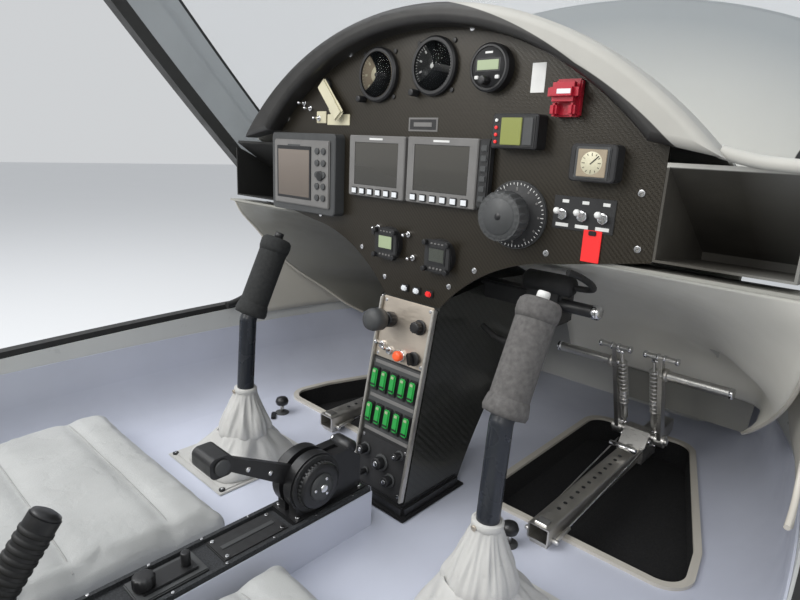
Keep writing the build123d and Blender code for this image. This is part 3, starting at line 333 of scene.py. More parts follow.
def tunnel(name, top, sides):
    """Dark carpet on top between the rails, the floor's pale moulding on the sides and the front."""
    paint = Paint(name, top, 0.8)
    front = paint.y.between(1.185, 1.1855)
    side = paint.x.math("ABSOLUTE").between(0.0366, 0.037).math("MAXIMUM", front)
    speck = paint.cloud(420, shaded(top, 0.5), shaded(top, 1.5))
    paint.drive("Base Color", paint.blend(side, speck, sides))
    paint.drive("Roughness", side * -0.4 + 0.85)
    return paint.bump(paint.noise(900, 4.0) * (side * -1 + 1), 0.0008, 0.8)


def foam(name, colour):
    paint = Paint(name, colour, 0.9)
    paint.mottle(0.22, 160)
    paint.bump(paint.noise(900, 4.0), 0.0005, 0.7)
    return paint.bump(paint.noise(60, 3.0), 0.0008, 0.4)


def carpet(name, colour):
    paint = Paint(name, colour, 0.97)
    paint.mottle(0.5, 420)
    return paint.bump(paint.noise(1100, 5.0), 0.0012, 0.9)


def carbon(name, across, up, tow, tint, coat):
    """Twill weave along two axes: each tow passes over two others, each row is one step on. The paler colour
    of the tows on top is painted sheen.
    """
    paint = Paint(name, tint, 0.4, 0.35, Coat_Weight=coat, Coat_Roughness=0.12)
    u, v = getattr(paint, across) * (1 / tow), getattr(paint, up) * (1 / tow)
    step = (u.math("FLOOR") + v.math("FLOOR")) % 4
    over = step < 1.5
    # Painted sheen: the tows that lie on top get this paler colour.
    light = tuple(c * 1.45 + 0.005 for c in tint)
    paint.drive("Base Color", paint.blend(over * 0.8 + paint.noise(5, 3.0) * 0.2, tint, light))
    paint.drive("Roughness", over * 0.14 + 0.3)
    round_u = (u % 1 - 0.5).math("ABSOLUTE")
    round_v = (v % 1 - 0.5).math("ABSOLUTE")
    return paint.bump(over * (round_v - round_u) - round_v, 0.00022, 0.7)


# Paint that glows. On the warning lamps and the screens it is their own light; on the breakers, the orange
# knob, the red tab, the logger's red buttons, the buttons under the displays and the label on the red handle
# the glow is painted light.
def lit(name, colour, strength):
    paint = Paint(name, colour, 0.35, Emission_Color=(*colour, 1), Emission_Strength=strength)
    return paint.bump(paint.noise(700, 2.0), 0.00003, 0.3)


def screen(name, low, high, gloss=0.08):
    """Dark display glass: a faint gradient up the panel and a hard shine."""
    paint = Paint(name, low, gloss, Coat_Weight=1.0, Coat_Roughness=0.03)
    paint.drive("Base Color", paint.blend(paint.z.between(0.4, 0.51), low, high))
    return paint.bump(paint.noise(300, 2.0), 0.00002, 0.2)


def clear(name, colour, alpha):
    paint = Paint(name, colour, 0.03, IOR=1.45)
    edge = paint.node("ShaderNodeFresnel", 1.35)
    paint.drive("Alpha", edge * (1 - alpha) + alpha)
    return paint.bump(paint.noise(5, 2.0), 0.0003, 0.2)


PAINTS = {name: maker(name, *values) for name, maker, *values in (
    ("hull", moulding, (0.6, 0.61, 0.6), 0.34),
    ("cabin_wall", moulding, (0.58, 0.555, 0.49), 0.5),
    ("floor", moulding, (0.56, 0.585, 0.68), 0.36, 0.0008),
    ("bulkhead", moulding, (0.5, 0.5, 0.48), 0.5),
    ("deck", moulding, (0.5, 0.49, 0.45), 0.55),
    ("cover", moulding, (0.3, 0.295, 0.265), 0.5),
    # The knee bowls are one beige moulding: the right bowl's pale beige is its own colour made paler as
    # painted light, and the left bowl's dark grey is painted shade.
    ("bowl", moulding, (0.74, 0.72, 0.65), 0.42, 0.0007),
    ("bowl_left", moulding, (0.22, 0.215, 0.19), 0.5, 0.0007),
    ("canopy_frame", banded_frame, (0.33, 0.35, 0.36)),
    ("bead", moulding, (0.55, 0.52, 0.46), 0.4),
    # The tray's second colour, for the left tray, is painted shade.
    ("tray", tray, (0.05, 0.046, 0.038), (0.016, 0.016, 0.015), (0.55, 0.54, 0.5)),
    ("carpet", carpet, (0.012, 0.012, 0.013)),
    ("tunnel", tunnel, (0.03, 0.032, 0.035), (0.56, 0.585, 0.68)),
    ("rubber", plastic, (0.014, 0.014, 0.014), 0.62),
    ("hood", hood_rim, (0.018, 0.017, 0.016), (0.42, 0.41, 0.375)),
    ("black", plastic, (0.014, 0.014, 0.015), 0.36),
    ("matte_black", plastic, (0.02, 0.02, 0.021), 0.6),
    ("dark_grey", plastic, (0.055, 0.057, 0.058), 0.5),
    ("bezel", plastic, (0.17, 0.165, 0.16), 0.42),
    ("dial_beige", plastic, (0.33, 0.27, 0.19), 0.6),
    ("dial_black", plastic, (0.016, 0.017, 0.017), 0.55),
    ("cream", plastic, (0.62, 0.58, 0.42), 0.45),
    ("white", plastic, (0.72, 0.72, 0.7), 0.4),
    ("red", plastic, (0.42, 0.012, 0.03), 0.3),
    # Glowing paints: on parts that are no lamp or screen their glow is painted light.
    ("bright_red", lit, (0.8, 0.03, 0.03), 0.15),
    ("orange", lit, (0.85, 0.11, 0.03), 0.2),
    ("green", lit, (0.02, 0.26, 0.05), 0.25),
    ("button_white", lit, (0.62, 0.64, 0.66), 0.25),
    ("lcd_green", lit, (0.3, 0.36, 0.22), 0.2),
    ("lcd_olive", lit, (0.22, 0.24, 0.06), 0.12),
    ("lcd_dark", screen, (0.03, 0.035, 0.022), (0.06, 0.065, 0.04), 0.2),
    ("display", screen, (0.03, 0.028, 0.022), (0.055, 0.05, 0.04)),
    ("navigation", screen, (0.12, 0.095, 0.075), (0.22, 0.18, 0.15), 0.2),
    ("steel", metal, (0.66, 0.65, 0.63), 0.34),
    ("aluminium", metal, (0.62, 0.6, 0.56), 0.4),
    ("plate", metal, (0.62, 0.55, 0.47), 0.42),
    ("chrome", metal, (0.75, 0.75, 0.76), 0.1),
    ("tube", moulding, (0.018, 0.021, 0.027), 0.25, 0.0001),
    ("seat", leather, (0.42, 0.425, 0.415)),
    ("boot", leather, (0.52, 0.515, 0.495), 0.55),
    ("seam", plastic, (0.34, 0.34, 0.33), 0.7),
    ("foam_dark", foam, (0.022, 0.023, 0.023)),
    ("foam_light", foam, (0.105, 0.1, 0.097)),
    ("carbon_panel", carbon, "x", "z", 0.0017, (0.02, 0.016, 0.01), 0.1),
    ("carbon_side", carbon, "y", "z", 0.0034, (0.024, 0.025, 0.022), 0.35),
    ("glass", banded_glass, (0.9, 0.95, 1.0), 0.05),
    ("lens", clear, (0.02, 0.022, 0.024), 0.03),
)}

# %% [markdown]
# ## Finishes of the CAD pieces

# %%
FINISHES = {
    "hull": "fuselage_shell", "bulkhead": "rear_bulkhead firewall", "rubber": "canopy_seal",
    "canopy_frame": "canopy_frame", "glass": "canopy_glass",
    "steel": "canopy_hinges stick_base_left stick_base_right gimbal_left gimbal_right "
             "pedal_carriages pedal_left_left pedal_left_right pedal_right_left pedal_right_right",
    "floor": "floor_pan", "carpet": "footwells", "bead": "well_trims", "tunnel": "centre_tunnel",
    "cabin_wall": "seat_pan",
    "black": "throttle_quadrant throttle_lever brake_lever airspeed_dial altimeter_dial radio_unit "
             "logger_unit lower_gauges pedestal_knobs", "carbon_panel": "instrument_panel",
    "bezel": "display_left display_right", "dark_grey": "gps_unit selector_knob",
    "matte_black": "square_gauge pedestal_face", "chrome": "panel_switches", "red": "guard_handle",
    "hood": "hood_rim", "deck": "glareshield", "tray": "glove_trays", "cover": "knee_covers",
    "carbon_side": "pedestal_shell", "green": "breakers", "tube": "stick_left stick_right",
    "foam_dark": "grip_left", "foam_light": "grip_right", "aluminium": "pedal_rails",
}
for finish, names in FINISHES.items():
    for name in names.split():
        nodes[name].data.materials.clear()
        nodes[name].data.materials.append(PAINTS[finish].material)


# %% [markdown]
# ## Shapes
#
# `Shape` gathers rounded boxes, rods and turned pieces into one mesh, each with its own finish.
# Its `frame` says which way the pieces stand: local z points out of the surface they sit on.

# %%
def linked(name, data):
    """Object with the given data, put into the scene."""
    made = bpy.data.objects.new(name, data)
    bpy.context.scene.collection.objects.link(made)
    return made


def frame_at(origin, out, up):
    """Matrix whose z is out, whose y is as near up as it can be, at origin."""
    z = Vector(out).normalized()
    x = Vector(up).cross(z).normalized()
    turn = Matrix((x, z.cross(x), z)).transposed()
    return Matrix.Translation(Vector(origin)) @ turn.to_4x4()


class Shape:
    """A mesh in the making."""

    def __init__(self, name, frame=Matrix.Identity(4), body="cockpit"):
        self.name, self.body, self.frame = name, body, frame
        self.bm = bmesh.new()
        self.paints = []

    def _finish(self, geometry, paint, smooth=True):
        if paint not in self.paints:
            self.paints.append(paint)
        index = self.paints.index(paint)
        for face in {f for v in geometry for f in v.link_faces}:
            face.material_index = index
            face.smooth = smooth
        return geometry

    def box(self, x, y, z, wide, high, deep, paint, round=0.0008, turn=0.0):
        """Rounded box standing on local z, deep thick, centred on x and y."""
        place = self.frame @ Matrix.Translation((x, y, z + deep / 2)) @ Matrix.Rotation(turn, 4, "Z")
        cube = place @ Matrix.Diagonal((wide, high, deep, 1))
        corners = bmesh.ops.create_cube(self.bm, size=1, matrix=cube)["verts"]
        edges = {e for v in corners for e in v.link_edges}
        size = min(round, 0.45 * min(wide, high, deep))
        bevel = bmesh.ops.bevel(self.bm, geom=list(edges), offset=size, segments=2, affect="EDGES")
        self._finish(set(bevel["verts"]) | {v for v in corners if v.is_valid}, paint, False)

    def turned(self, x, y, z, profile, paint, sides=32, lean=0.0):
        """Piece turned about local z from (radius, height) pairs, leaning about local x."""
        place = self.frame @ Matrix.Translation((x, y, z)) @ Matrix.Rotation(lean, 4, "X")
        circle = [(cos(2 * pi * k / sides), sin(2 * pi * k / sides)) for k in range(sides)]
        rings = [[self.bm.verts.new(place @ Vector((radius * c, radius * s, height))) for c, s in circle]
                 for radius, height in profile]
        for low, high in zip(rings, rings[1:]):
            for k in range(sides):
                after = (k + 1) % sides
                self.bm.faces.new((low[k], low[after], high[after], high[k]))
        self.bm.faces.new(list(reversed(rings[0])))
        self.bm.faces.new(rings[-1])
        return self._finish([vert for ring in rings for vert in ring], paint)

    def disc(self, x, y, z, radius, height, paint, sides):
        """Flat round plate."""
        self.turned(x, y, z, [(radius, 0), (radius, height)], paint, sides)

    def knob(self, x, y, z, radius, height, paint, flutes=0):
        """Rounded knob, fluted when flutes is given."""
        edge = min(radius, height) * 0.18
        made = self.turned(x, y, z, [(radius * 0.96, 0), (radius, edge), (radius, height - edge),
                                     (radius - edge * 0.4, height - edge * 0.3),
                                     (radius - edge * 1.3, height), (radius * 0.3, height)],
                           paint, max(24, flutes * 4))
        if flutes:
            axis = self.frame @ Matrix.Translation((x, y, z))
            back = axis.inverted()
            ring = len(made) // 6
            for k, vert in enumerate(made[ring:4 * ring]):
                if k % 4 < 2:
                    local = back @ vert.co
                    vert.co = axis @ Vector((local.x * 0.93, local.y * 0.93, local.z))

    def rod(self, start, end, radius, paint, sides=16):
        """Round bar between two points of the shared frame, its ends a little rounded."""
        start, end = Vector(start), Vector(end)
        length = (end - start).length
        kept, self.frame = self.frame, frame_at(start, end - start, (0.3, 0.2, 0.93))
        edge = min(radius * 0.3, length * 0.2)
        self.turned(0, 0, 0, [(radius - edge, 0), (radius, edge), (radius, length - edge),
                              (radius - edge, length)], paint, sides)
        self.frame = kept

    def pipe(self, points, radius, paint, sides=12, per=10):
        """Bent pipe through a few points on a smooth curve."""
        curve = bpy.data.curves.new(self.name + "_path", "CURVE")
        curve.dimensions = "3D"
        spline = curve.splines.new("NURBS")
        spline.points.add(len(points) - 1)
        for spot, point in zip(spline.points, points):
            spot.co = (*point, 1)
        spline.order_u = 3
        spline.use_endpoint_u = True
        curve.resolution_u = per
        curve.bevel_depth = radius
        curve.bevel_resolution = sides // 4
        curve.use_fill_caps = True
        carrier = bpy.data.objects.new(self.name + "_path", curve)
        mesh = bpy.data.meshes.new_from_object(carrier)
        before = set(self.bm.verts)
        self.bm.from_mesh(mesh)
        bpy.data.objects.remove(carrier)
        self._finish([v for v in self.bm.verts if v not in before], paint)

    def done(self, slot=None, *replaced):
        """Put the mesh into the scene on its body, and hide the CAD nodes it replaces; slot is not used."""
        bmesh.ops.recalc_face_normals(self.bm, faces=self.bm.faces)
        mesh = bpy.data.meshes.new(self.name)
        self.bm.to_mesh(mesh)
        self.bm.free()
        for paint in self.paints:
            mesh.materials.append(PAINTS[paint].material)
        made = linked(self.name, mesh)
        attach(made, self.body)
        if replaced:
            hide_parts(*replaced)


# %% [markdown]
# ## Round instruments
#
# Each sits in the recess of its CAD bezel. Local x is to the right, y up and z towards the pilots.

# %%
PANEL_Y = 1.3


def on_panel(name, x, z, out=0.0):
    """Shape that stands out by the given distance from the panel's front."""
    return Shape(name, frame_at((x, PANEL_Y - out, z), (0, -1, 0), (0, 0, 1)))


def ticks(shape, count, radius, length, width, paint, z, major=5):
    """Marks round a dial, every major one longer."""
    for k in range(count):
        angle = 2 * pi * k / count
        long = length * (1.6 if k % major == 0 else 1.0)
        middle = radius - long / 2
        shape.box(middle * sin(angle), middle * cos(angle), z, width, long, 0.0003, paint, 0.0001, -angle)


def needle(shape, angle, length, width, paint, z):
    middle = length * 0.36
    shape.box(middle * sin(angle), middle * cos(angle), z, width, length, 0.0006, paint, 0.0002, -angle)


DIAL_FLOOR = 0.0064
AIRSPEED, ALTIMETER = (-0.091, 0.597), (0.023, 0.604)

airspeed = on_panel("airspeed_face", *AIRSPEED, DIAL_FLOOR)
airspeed.disc(0, 0, 0, 0.0335, 0.0006, "dial_beige", 48)
airspeed.turned(0, 0, 0.0006, [(0.0125, 0), (0.012, 0.0004)], "cream", 32)
ticks(airspeed, 40, 0.0325, 0.003, 0.0008, "cream", 0.0006)
ticks(airspeed, 8, 0.026, 0.0052, 0.0034, "cream", 0.0006, major=99)
needle(airspeed, 3.5, 0.036, 0.0018, "cream", 0.0012)
airspeed.knob(0, 0, 0.001, 0.0032, 0.0016, "black")
airspeed.done("dial_beige")

altimeter = on_panel("altimeter_face", *ALTIMETER, DIAL_FLOOR)
altimeter.disc(0, 0, 0, 0.0335, 0.0006, "dial_black", 48)
ticks(altimeter, 50, 0.033, 0.0032, 0.0008, "white", 0.0006)
ticks(altimeter, 10, 0.0262, 0.0046, 0.0026, "white", 0.0006, major=99)
altimeter.box(0.015, 0.002, 0.0006, 0.01, 0.007, 0.0005, "white")
altimeter.disc(-0.0135, -0.01, 0.0006, 0.0066, 0.0003, "dark_grey", 24)
altimeter.disc(0.0125, -0.013, 0.0006, 0.0055, 0.0003, "dark_grey", 24)
needle(altimeter, 3.14, 0.037, 0.0019, "white", 0.0012)
needle(altimeter, 0.35, 0.026, 0.0026, "white", 0.001)
altimeter.knob(0, 0, 0.001, 0.0032, 0.0018, "white")
altimeter.done("instrument_black")

for name, spot in (("airspeed", AIRSPEED), ("altimeter", ALTIMETER)):
    surround = on_panel(name + "_surround", *spot)
    for x in (-0.033, 0.033):
        for y in (-0.033, 0.033):
            surround.knob(x, y, 0.0003, 0.0034, 0.0018, "black")
            surround.box(x, y, 0.0015, 0.0051, 0.0006, 0.0008, "black", 0.0001, 0.6)
    surround.knob(-0.033, -0.036, 0.0, 0.0052, 0.016, "black", 8)
    surround.done()
    lens = on_panel(name + "_lens", *spot, 0.0088)
    lens.turned(0, 0, 0, [(0.0336, 0), (0.033, 0.0006)], "lens", 48)
    lens.done()

radio = on_panel("radio_face", 0.126, 0.596, 0.0132)
radio.disc(0, 0, 0, 0.0252, 0.0022, "matte_black", 48)
radio.box(0, 0.003, 0.0022, 0.04, 0.017, 0.001, "black")
radio.box(0, 0.003, 0.003, 0.034, 0.0125, 0.0008, "lcd_green", 0.0005)
radio.box(0, 0.0185, 0.0022, 0.012, 0.0026, 0.0006, "white", 0.0003)
for x in (-0.0205, 0.0205):
    radio.box(x * 0.8, -0.0125, 0.0022, 0.0062, 0.0045, 0.003, "white", 0.0006)
radio.knob(0, -0.017, 0.0022, 0.0058, 0.014, "black", 10)
radio.done("instrument_black")

rings = on_panel("selector_ring", 0.182, 0.407, 0.005)
rings.turned(0, 0, 0, [(0.0452, 0), (0.0448, 0.0006)], "matte_black", 64)
ticks(rings, 48, 0.0435, 0.0028, 0.0011, "white", 0.0006, major=4)
ticks(rings, 12, 0.0375, 0.003, 0.0028, "bezel", 0.0006, major=99)
rings.done("knob_black")
cap = on_panel("selector_cap", 0.182, 0.407, 0.0225)
cap.knob(0, 0, 0.0, 0.0335, 0.0245, "dark_grey", 20)
cap.turned(0, 0, 0.024, [(0.0245, 0), (0.0235, 0.0012)], "dark_grey", 48)
cap.turned(0, 0, 0.0248, [(0.005, 0), (0.0046, 0.0006)], "black", 24)
cap.done("knob_black")

for name, x, z, face in (("left", -0.052, 0.335, "lcd_green"), ("right", 0.057, 0.33, "lcd_dark")):
    gauge = on_panel("lower_gauge_" + name, x, z, 0.01)
    gauge.box(0, 0, 0, 0.05, 0.05, 0.003, "matte_black", 0.004)
    gauge.box(0, 0.001, 0.0028, 0.034, 0.026, 0.0012, "black", 0.001)
    gauge.box(0, 0.002, 0.0036, 0.029, 0.02, 0.0008, face, 0.0005)
    for sx in (-1, 1):
        for sy in (-1, 1):
            gauge.knob(sx * 0.0215, sy * 0.0205, 0.0028, 0.0042, 0.0075, "black", 6)
    for k in range(4):
        gauge.box(-0.0105 + 0.007 * k, -0.0185, 0.003, 0.0042, 0.003, 0.002, "bezel", 0.0005)
        gauge.box(-0.0105 + 0.007 * k, 0.0195, 0.003, 0.0042, 0.0022, 0.0012, "bezel", 0.0004)
    gauge.done("instrument_black")

# %% [markdown]
# ## Displays, navigation unit, logger and the small square gauge

# %%
for name, x, z, wide in (("left", -0.0825, 0.4555, 0.126), ("right", 0.052, 0.456, 0.132)):
    face = on_panel("display_face_" + name, x, z, 0.012)
    face.box(0, 0.0039, -0.0018, wide * 0.78 - 0.001, 0.0676, 0.0012, "display", 0.0003)
    for k in range(6):
        face.box((k - 2.5) * wide * 0.148, -0.0405, 0, 0.0128, 0.011, 0.0022, "black", 0.0008)
        # The white buttons glow: painted light.
        face.box((k - 2.5) * wide * 0.148, -0.0405, 0.0012, 0.0112, 0.0094, 0.0018, "button_white", 0.001)
    face.box(0, 0.0435, 0, 0.03, 0.003, 0.0004, "white", 0.0002)
    face.done("bezel_grey")

column = on_panel("display_buttons", 0.1295, 0.458)
column.box(0, 0, 0, 0.018, 0.094, 0.013, "matte_black", 0.002)
for k in range(6):
    column.box(0, 0.0345 - 0.0138 * k, 0.0125, 0.0105, 0.0085, 0.0022, "dark_grey", 0.001)
column.done("instrument_black")

gps = on_panel("navigation_face", -0.2605, 0.435, 0.022)
gps.box(0.0, 0.0, -0.0006, 0.158, 0.116, 0.0042, "bezel", 0.008)
gps.box(-0.019, 0.0, 0.0032, 0.1, 0.094, 0.0016, "black", 0.003)
gps.box(-0.019, -0.001, 0.004, 0.092, 0.084, 0.0012, "navigation", 0.001)
gps.box(-0.019, 0.0475, 0.0036, 0.036, 0.0042, 0.0006, "dark_grey", 0.0003)
for row in range(5):
    for side_x in (0.048, 0.065):
        gps.knob(side_x, 0.04 - 0.02 * row, 0.0034, 0.0056, 0.003, "dark_grey")
gps.knob(0.0565, -0.002, 0.0034, 0.0085, 0.004, "black")
gps.done("instrument_black")

logger = on_panel("logger_face", 0.18, 0.515, 0.024)
logger.box(0.0, 0.0, -0.0012, 0.064, 0.04, 0.0022, "matte_black", 0.003)
logger.box(-0.0035, 0.0, 0.0008, 0.031, 0.034, 0.0014, "lcd_olive", 0.0006)
logger.box(0.0215, 0.0, 0.0008, 0.014, 0.034, 0.0016, "dark_grey", 0.001)
for k in range(4):
    # The red buttons glow: painted light.
    logger.knob(-0.0262, 0.0135 - 0.009 * k, 0.0008, 0.0022, 0.0022, "bright_red" if k else "white")
logger.done("screen_olive")

square = on_panel("square_gauge_face", 0.29, 0.481, 0.022)
square.box(0, 0, -0.0015, 0.044, 0.038, 0.003, "dark_grey", 0.006)
square.box(0, 0, 0.0012, 0.036, 0.032, 0.0012, "dial_beige", 0.003)
square.turned(0, 0, 0.0022, [(0.0135, 0), (0.0132, 0.0003)], "cream", 32)
ticks(square, 12, 0.012, 0.0025, 0.0007, "black", 0.0025, major=3)
needle(square, 0.8, 0.014, 0.0011, "black", 0.0027)
square.done("dial_beige")

# %% [markdown]
# ## Switches, lamps, placards and screws on the panel

# %%
row = on_panel("switch_row", 0.277, 0.416)
row.box(0, 0.002, 0, 0.082, 0.042, 0.0012, "matte_black", 0.001)
for k in (-1, 0, 1):
    row.knob(k * 0.027, 0, 0.0012, 0.0072, 0.005, "chrome", 6)
    row.turned(k * 0.027, 0, 0.005, [(0.0022, 0), (0.003, 0.012), (0.0044, 0.015), (0.0034, 0.018),
                                      (0.001, 0.0188)], "white", 16, -0.35)
    row.box(k * 0.027, -0.0135, 0.0012, 0.0175, 0.0044, 0.0003, "white", 0.0002)
    row.box(k * 0.027 + 0.002, 0.0165, 0.0012, 0.009, 0.004, 0.0003, "white", 0.0002)
row.done("aluminium", "panel_switches")

lamps = on_panel("warning_lamps", 0.012, 0.266)
for k, paint in ((-1, "button_white"), (0, "button_white"), (1, "bright_red")):
    lamps.box(k * 0.026, 0, 0, 0.015, 0.012, 0.003, "matte_black", 0.001)
    lamps.box(k * 0.026, 0, 0.0024, 0.0118, 0.0088, 0.0046, paint, 0.0022)
lamps.done("red")

extras = on_panel("panel_extras", 0, 0)
extras.box(0.005, 0.523, 0, 0.058, 0.02, 0.0008, "bezel", 0.002)
extras.box(0.005, 0.523, 0.0006, 0.052, 0.015, 0.0006, "matte_black", 0.001)
extras.box(0.005, 0.523, 0.0009, 0.036, 0.0062, 0.0006, "bezel", 0.001)
extras.box(0.194, 0.582, 0, 0.02, 0.036, 0.0005, "white", 0.004)
extras.box(-0.187, 0.529, 0, 0.058, 0.018, 0.0016, "cream", 0.001)
extras.box(-0.232, 0.533, 0, 0.026, 0.02, 0.0016, "cream", 0.001)
extras.box(-0.092, 0.35, 0, 0.01, 0.012, 0.003, "matte_black", 0.002)
for x, z in ((-0.279, 0.557), (-0.262, 0.548), (-0.237, 0.531), (-0.08, 0.357), (-0.012, 0.354),
             (0.000, 0.318)):
    extras.knob(x, z, 0, 0.005, 0.004, "chrome", 6)
    extras.turned(x, z, 0.0035, [(0.0018, 0), (0.0032, 0.012), (0.001, 0.0145)], "chrome", 12)
for x, z in ((-0.33, 0.53), (-0.16, 0.632), (0.085, 0.65), (0.245, 0.615), (0.345, 0.52), (0.35, 0.385),
             (0.232, 0.362), (0.12, 0.318), (-0.12, 0.318), (-0.232, 0.362), (-0.345, 0.395), (0.318, 0.556),
             (0.075, 0.285), (-0.062, 0.276), (0.142, 0.508), (0.345, 0.45)):
    extras.knob(x, z, 0, 0.0042, 0.0016, "chrome")
    extras.box(x, z, 0.001, 0.006, 0.0009, 0.0008, "black", 0.0002, 0.5)
extras.done("panel_grey")

paddle = on_panel("trim_paddle", -0.199, 0.563)
paddle.knob(-0.018, 0.022, 0, 0.012, 0.008, "black")
paddle.box(0, 0, 0.008, 0.024, 0.07, 0.006, "cream", 0.003, 0.72)
paddle.box(0.018, -0.02, 0.008, 0.026, 0.03, 0.008, "cream", 0.004, 0.72)
paddle.done()

guard = on_panel("guarded_handle", 0.242, 0.556)
guard.box(0, 0, 0, 0.034, 0.044, 0.01, "red", 0.002)
guard.box(0, 0.006, 0.0095, 0.04, 0.022, 0.019, "red", 0.006)
guard.box(-0.012, -0.014, 0.0095, 0.009, 0.016, 0.013, "red", 0.003)
guard.box(0.012, -0.014, 0.0095, 0.009, 0.016, 0.013, "red", 0.003)
# The white label glows: painted light.
guard.box(0.004, 0.006, 0.0282, 0.018, 0.0055, 0.0006, "button_white", 0.0004)
guard.done("red", "guard_handle")

tag = on_panel("red_tab", 0.293, 0.38)
# The red tab glows: painted light.
tag.box(0, 0, 0.001, 0.024, 0.04, 0.0012, "bright_red", 0.002)
tag.box(0, 0.0165, 0.002, 0.01, 0.006, 0.002, "black", 0.001)
tag.done("red")

# %% [markdown]
# ## Pedestal face
#
# Local y runs up the sloping face from its foot, x to the right.

# %%
FACE_FOOT = Vector((0, 1.24, -0.078))
FACE_UP = Vector((0, 0.06, 0.325)).normalized()
FACE_OUT = Vector((0, -FACE_UP.z, FACE_UP.y))


def on_face(name, out):
    """Shape that stands out by the given distance from the pedestal's face."""
    return Shape(name, frame_at(FACE_FOOT + FACE_OUT * out, FACE_OUT, FACE_UP))


plinth = Shape("pedestal_plinth")
plinth.box(0, 1.306, -0.0995, 0.132, 0.152, 0.023, "black", 0.005)
plinth.box(0, 1.306, -0.0995, 0.146, 0.166, 0.005, "black", 0.002)
plinth.done("knob_black")

face = on_face("pedestal_plates", 0.004)
face.box(0, 0.277, 0, 0.108, 0.104, 0.0022, "plate", 0.0015)
face.box(0, 0.158, 0, 0.108, 0.128, 0.0018, "dark_grey", 0.0015)
face.box(0, 0.047, 0, 0.108, 0.086, 0.0018, "matte_black", 0.0015)
for up in (0.157, 0.098, 0.216):
    face.box(0, up, 0.0014, 0.1, 0.006, 0.001, "bezel", 0.0005)
for hand in (-1, 1):
    face.box(hand * 0.0565, 0.165, -0.002, 0.005, 0.322, 0.01, "aluminium", 0.001)
    for up in (0.01, 0.085, 0.23, 0.322):
        face.knob(hand * 0.048, up, 0.0016, 0.0028, 0.0014, "chrome")
face.done("aluminium")

rockers = on_face("breaker_rockers", 0.006)
for up in (0.187, 0.127):
    for k in range(5):
        x = (k - 2) * 0.021
        rockers.box(x, up, 0, 0.0168, 0.04, 0.004, "black", 0.0015)
        # The green rockers and the small windows on them glow: painted light.
        rockers.box(x, up + 0.001, 0.0036, 0.0125, 0.032, 0.0046, "green", 0.0022)
        rockers.box(x, up - 0.01, 0.007, 0.0105, 0.003, 0.0022, "black", 0.0005)
        rockers.box(x, up + 0.0125, 0.0074, 0.006, 0.0045, 0.0014, "lcd_green", 0.0005)
rockers.done("green", "breakers")

controls = on_face("pedestal_controls", 0.006)
controls.knob(-0.03, 0.292, 0, 0.013, 0.016, "black", 12)
controls.turned(-0.03, 0.292, 0.014, [(0.007, 0), (0.0075, 0.01), (0.018, 0.014), (0.019, 0.03),
                                       (0.017, 0.038), (0.006, 0.041)], "dark_grey", 32)
controls.knob(0.033, 0.293, 0, 0.0125, 0.004, "black")
controls.knob(0.033, 0.293, 0.003, 0.0095, 0.014, "black", 12)
for x, up in ((-0.04, 0.246), (-0.022, 0.24)):
    controls.knob(x, up, 0, 0.0066, 0.0045, "chrome", 6)
    controls.turned(x, up, 0.004, [(0.0022, 0), (0.0034, 0.015), (0.0022, 0.019), (0.0008, 0.0195)], "chrome",
                    16, -0.4)
controls.knob(0.004, 0.238, 0, 0.0098, 0.005, "chrome")
# The orange cap glows: painted light.
controls.turned(0.004, 0.238, 0.004, [(0.0084, 0), (0.0086, 0.008), (0.007, 0.0105), (0.003, 0.0115)],
                "orange", 32)
controls.knob(0.033, 0.241, 0, 0.0115, 0.006, "black")
controls.box(0.033, 0.241, 0.006, 0.0045, 0.02, 0.014, "black", 0.0018, 0.4)
for x, up, radius in ((-0.038, 0.062, 0.0095), (0.002, 0.052, 0.0125), (0.038, 0.078, 0.0075),
                      (0.026, 0.03, 0.01), (-0.03, 0.024, 0.006)):
    controls.knob(x, up, 0, radius * 1.15, 0.003, "dark_grey")
    controls.knob(x, up, 0.0028, radius * 0.85, 0.014, "black", 8)
    controls.turned(x, up, 0.0165, [(radius * 0.4, 0), (radius * 0.3, 0.0008)], "chrome", 16)
controls.done("knob_black", "pedestal_knobs")

# %% [markdown]
# ## Soft skins: boots round the sticks
#
# Each boot is two closed leather skins: the wide skirt between the floor and the roll joint, the
# narrow sleeve between the roll joint and the stick.

# %%
STICK_X = 0.27
PIVOT = (1.15, -0.058)
TUBE_LEAN = 0.015 / 0.234
FLOOR_Z = -0.1
SIDES = ((-1, "left"), (1, "right"))


def surface(name, points, faces, paint):
    """Object with one paint, from its points and faces."""
    mesh = bpy.data.meshes.new(name)
    mesh.from_pydata(points, [], faces)
    mesh.materials.append(PAINTS[paint].material)
    return linked(name, mesh)


def skin(name, rings):
    """Closed leather skin through rings of points; the last ring joins the first."""
    count = len(rings[0])
    points = [spot for ring in rings for spot in ring]
    faces = []
    for r in range(len(rings)):
        low, high = r * count, ((r + 1) % len(rings)) * count
        for k in range(count):
            after = (k + 1) % count
            faces.append((low + k, low + after, high + after, high + k))
    return smooth_out(surface(name, points, faces, "boot"))


def smooth_out(made, levels=1):
    """Outward normals, one subdivision baked in, smooth shading."""
    bm = bmesh.new()
    bm.from_mesh(made.data)
    bmesh.ops.recalc_face_normals(bm, faces=bm.faces)
    bm.to_mesh(made.data)
    bm.free()
    if levels:
        made.modifiers.new("round", "SUBSURF").levels = levels
        bake(made)
    for polygon in made.data.polygons:
        polygon.use_smooth = True
    return made


def bake(made):
    """Put the result of the modifiers into the mesh."""
    graph = bpy.context.evaluated_depsgraph_get()
    graph.update()
    mesh = bpy.data.meshes.new_from_object(made.evaluated_get(graph))
    made.modifiers.clear()
    old, made.data = made.data, mesh
    bpy.data.meshes.remove(old)


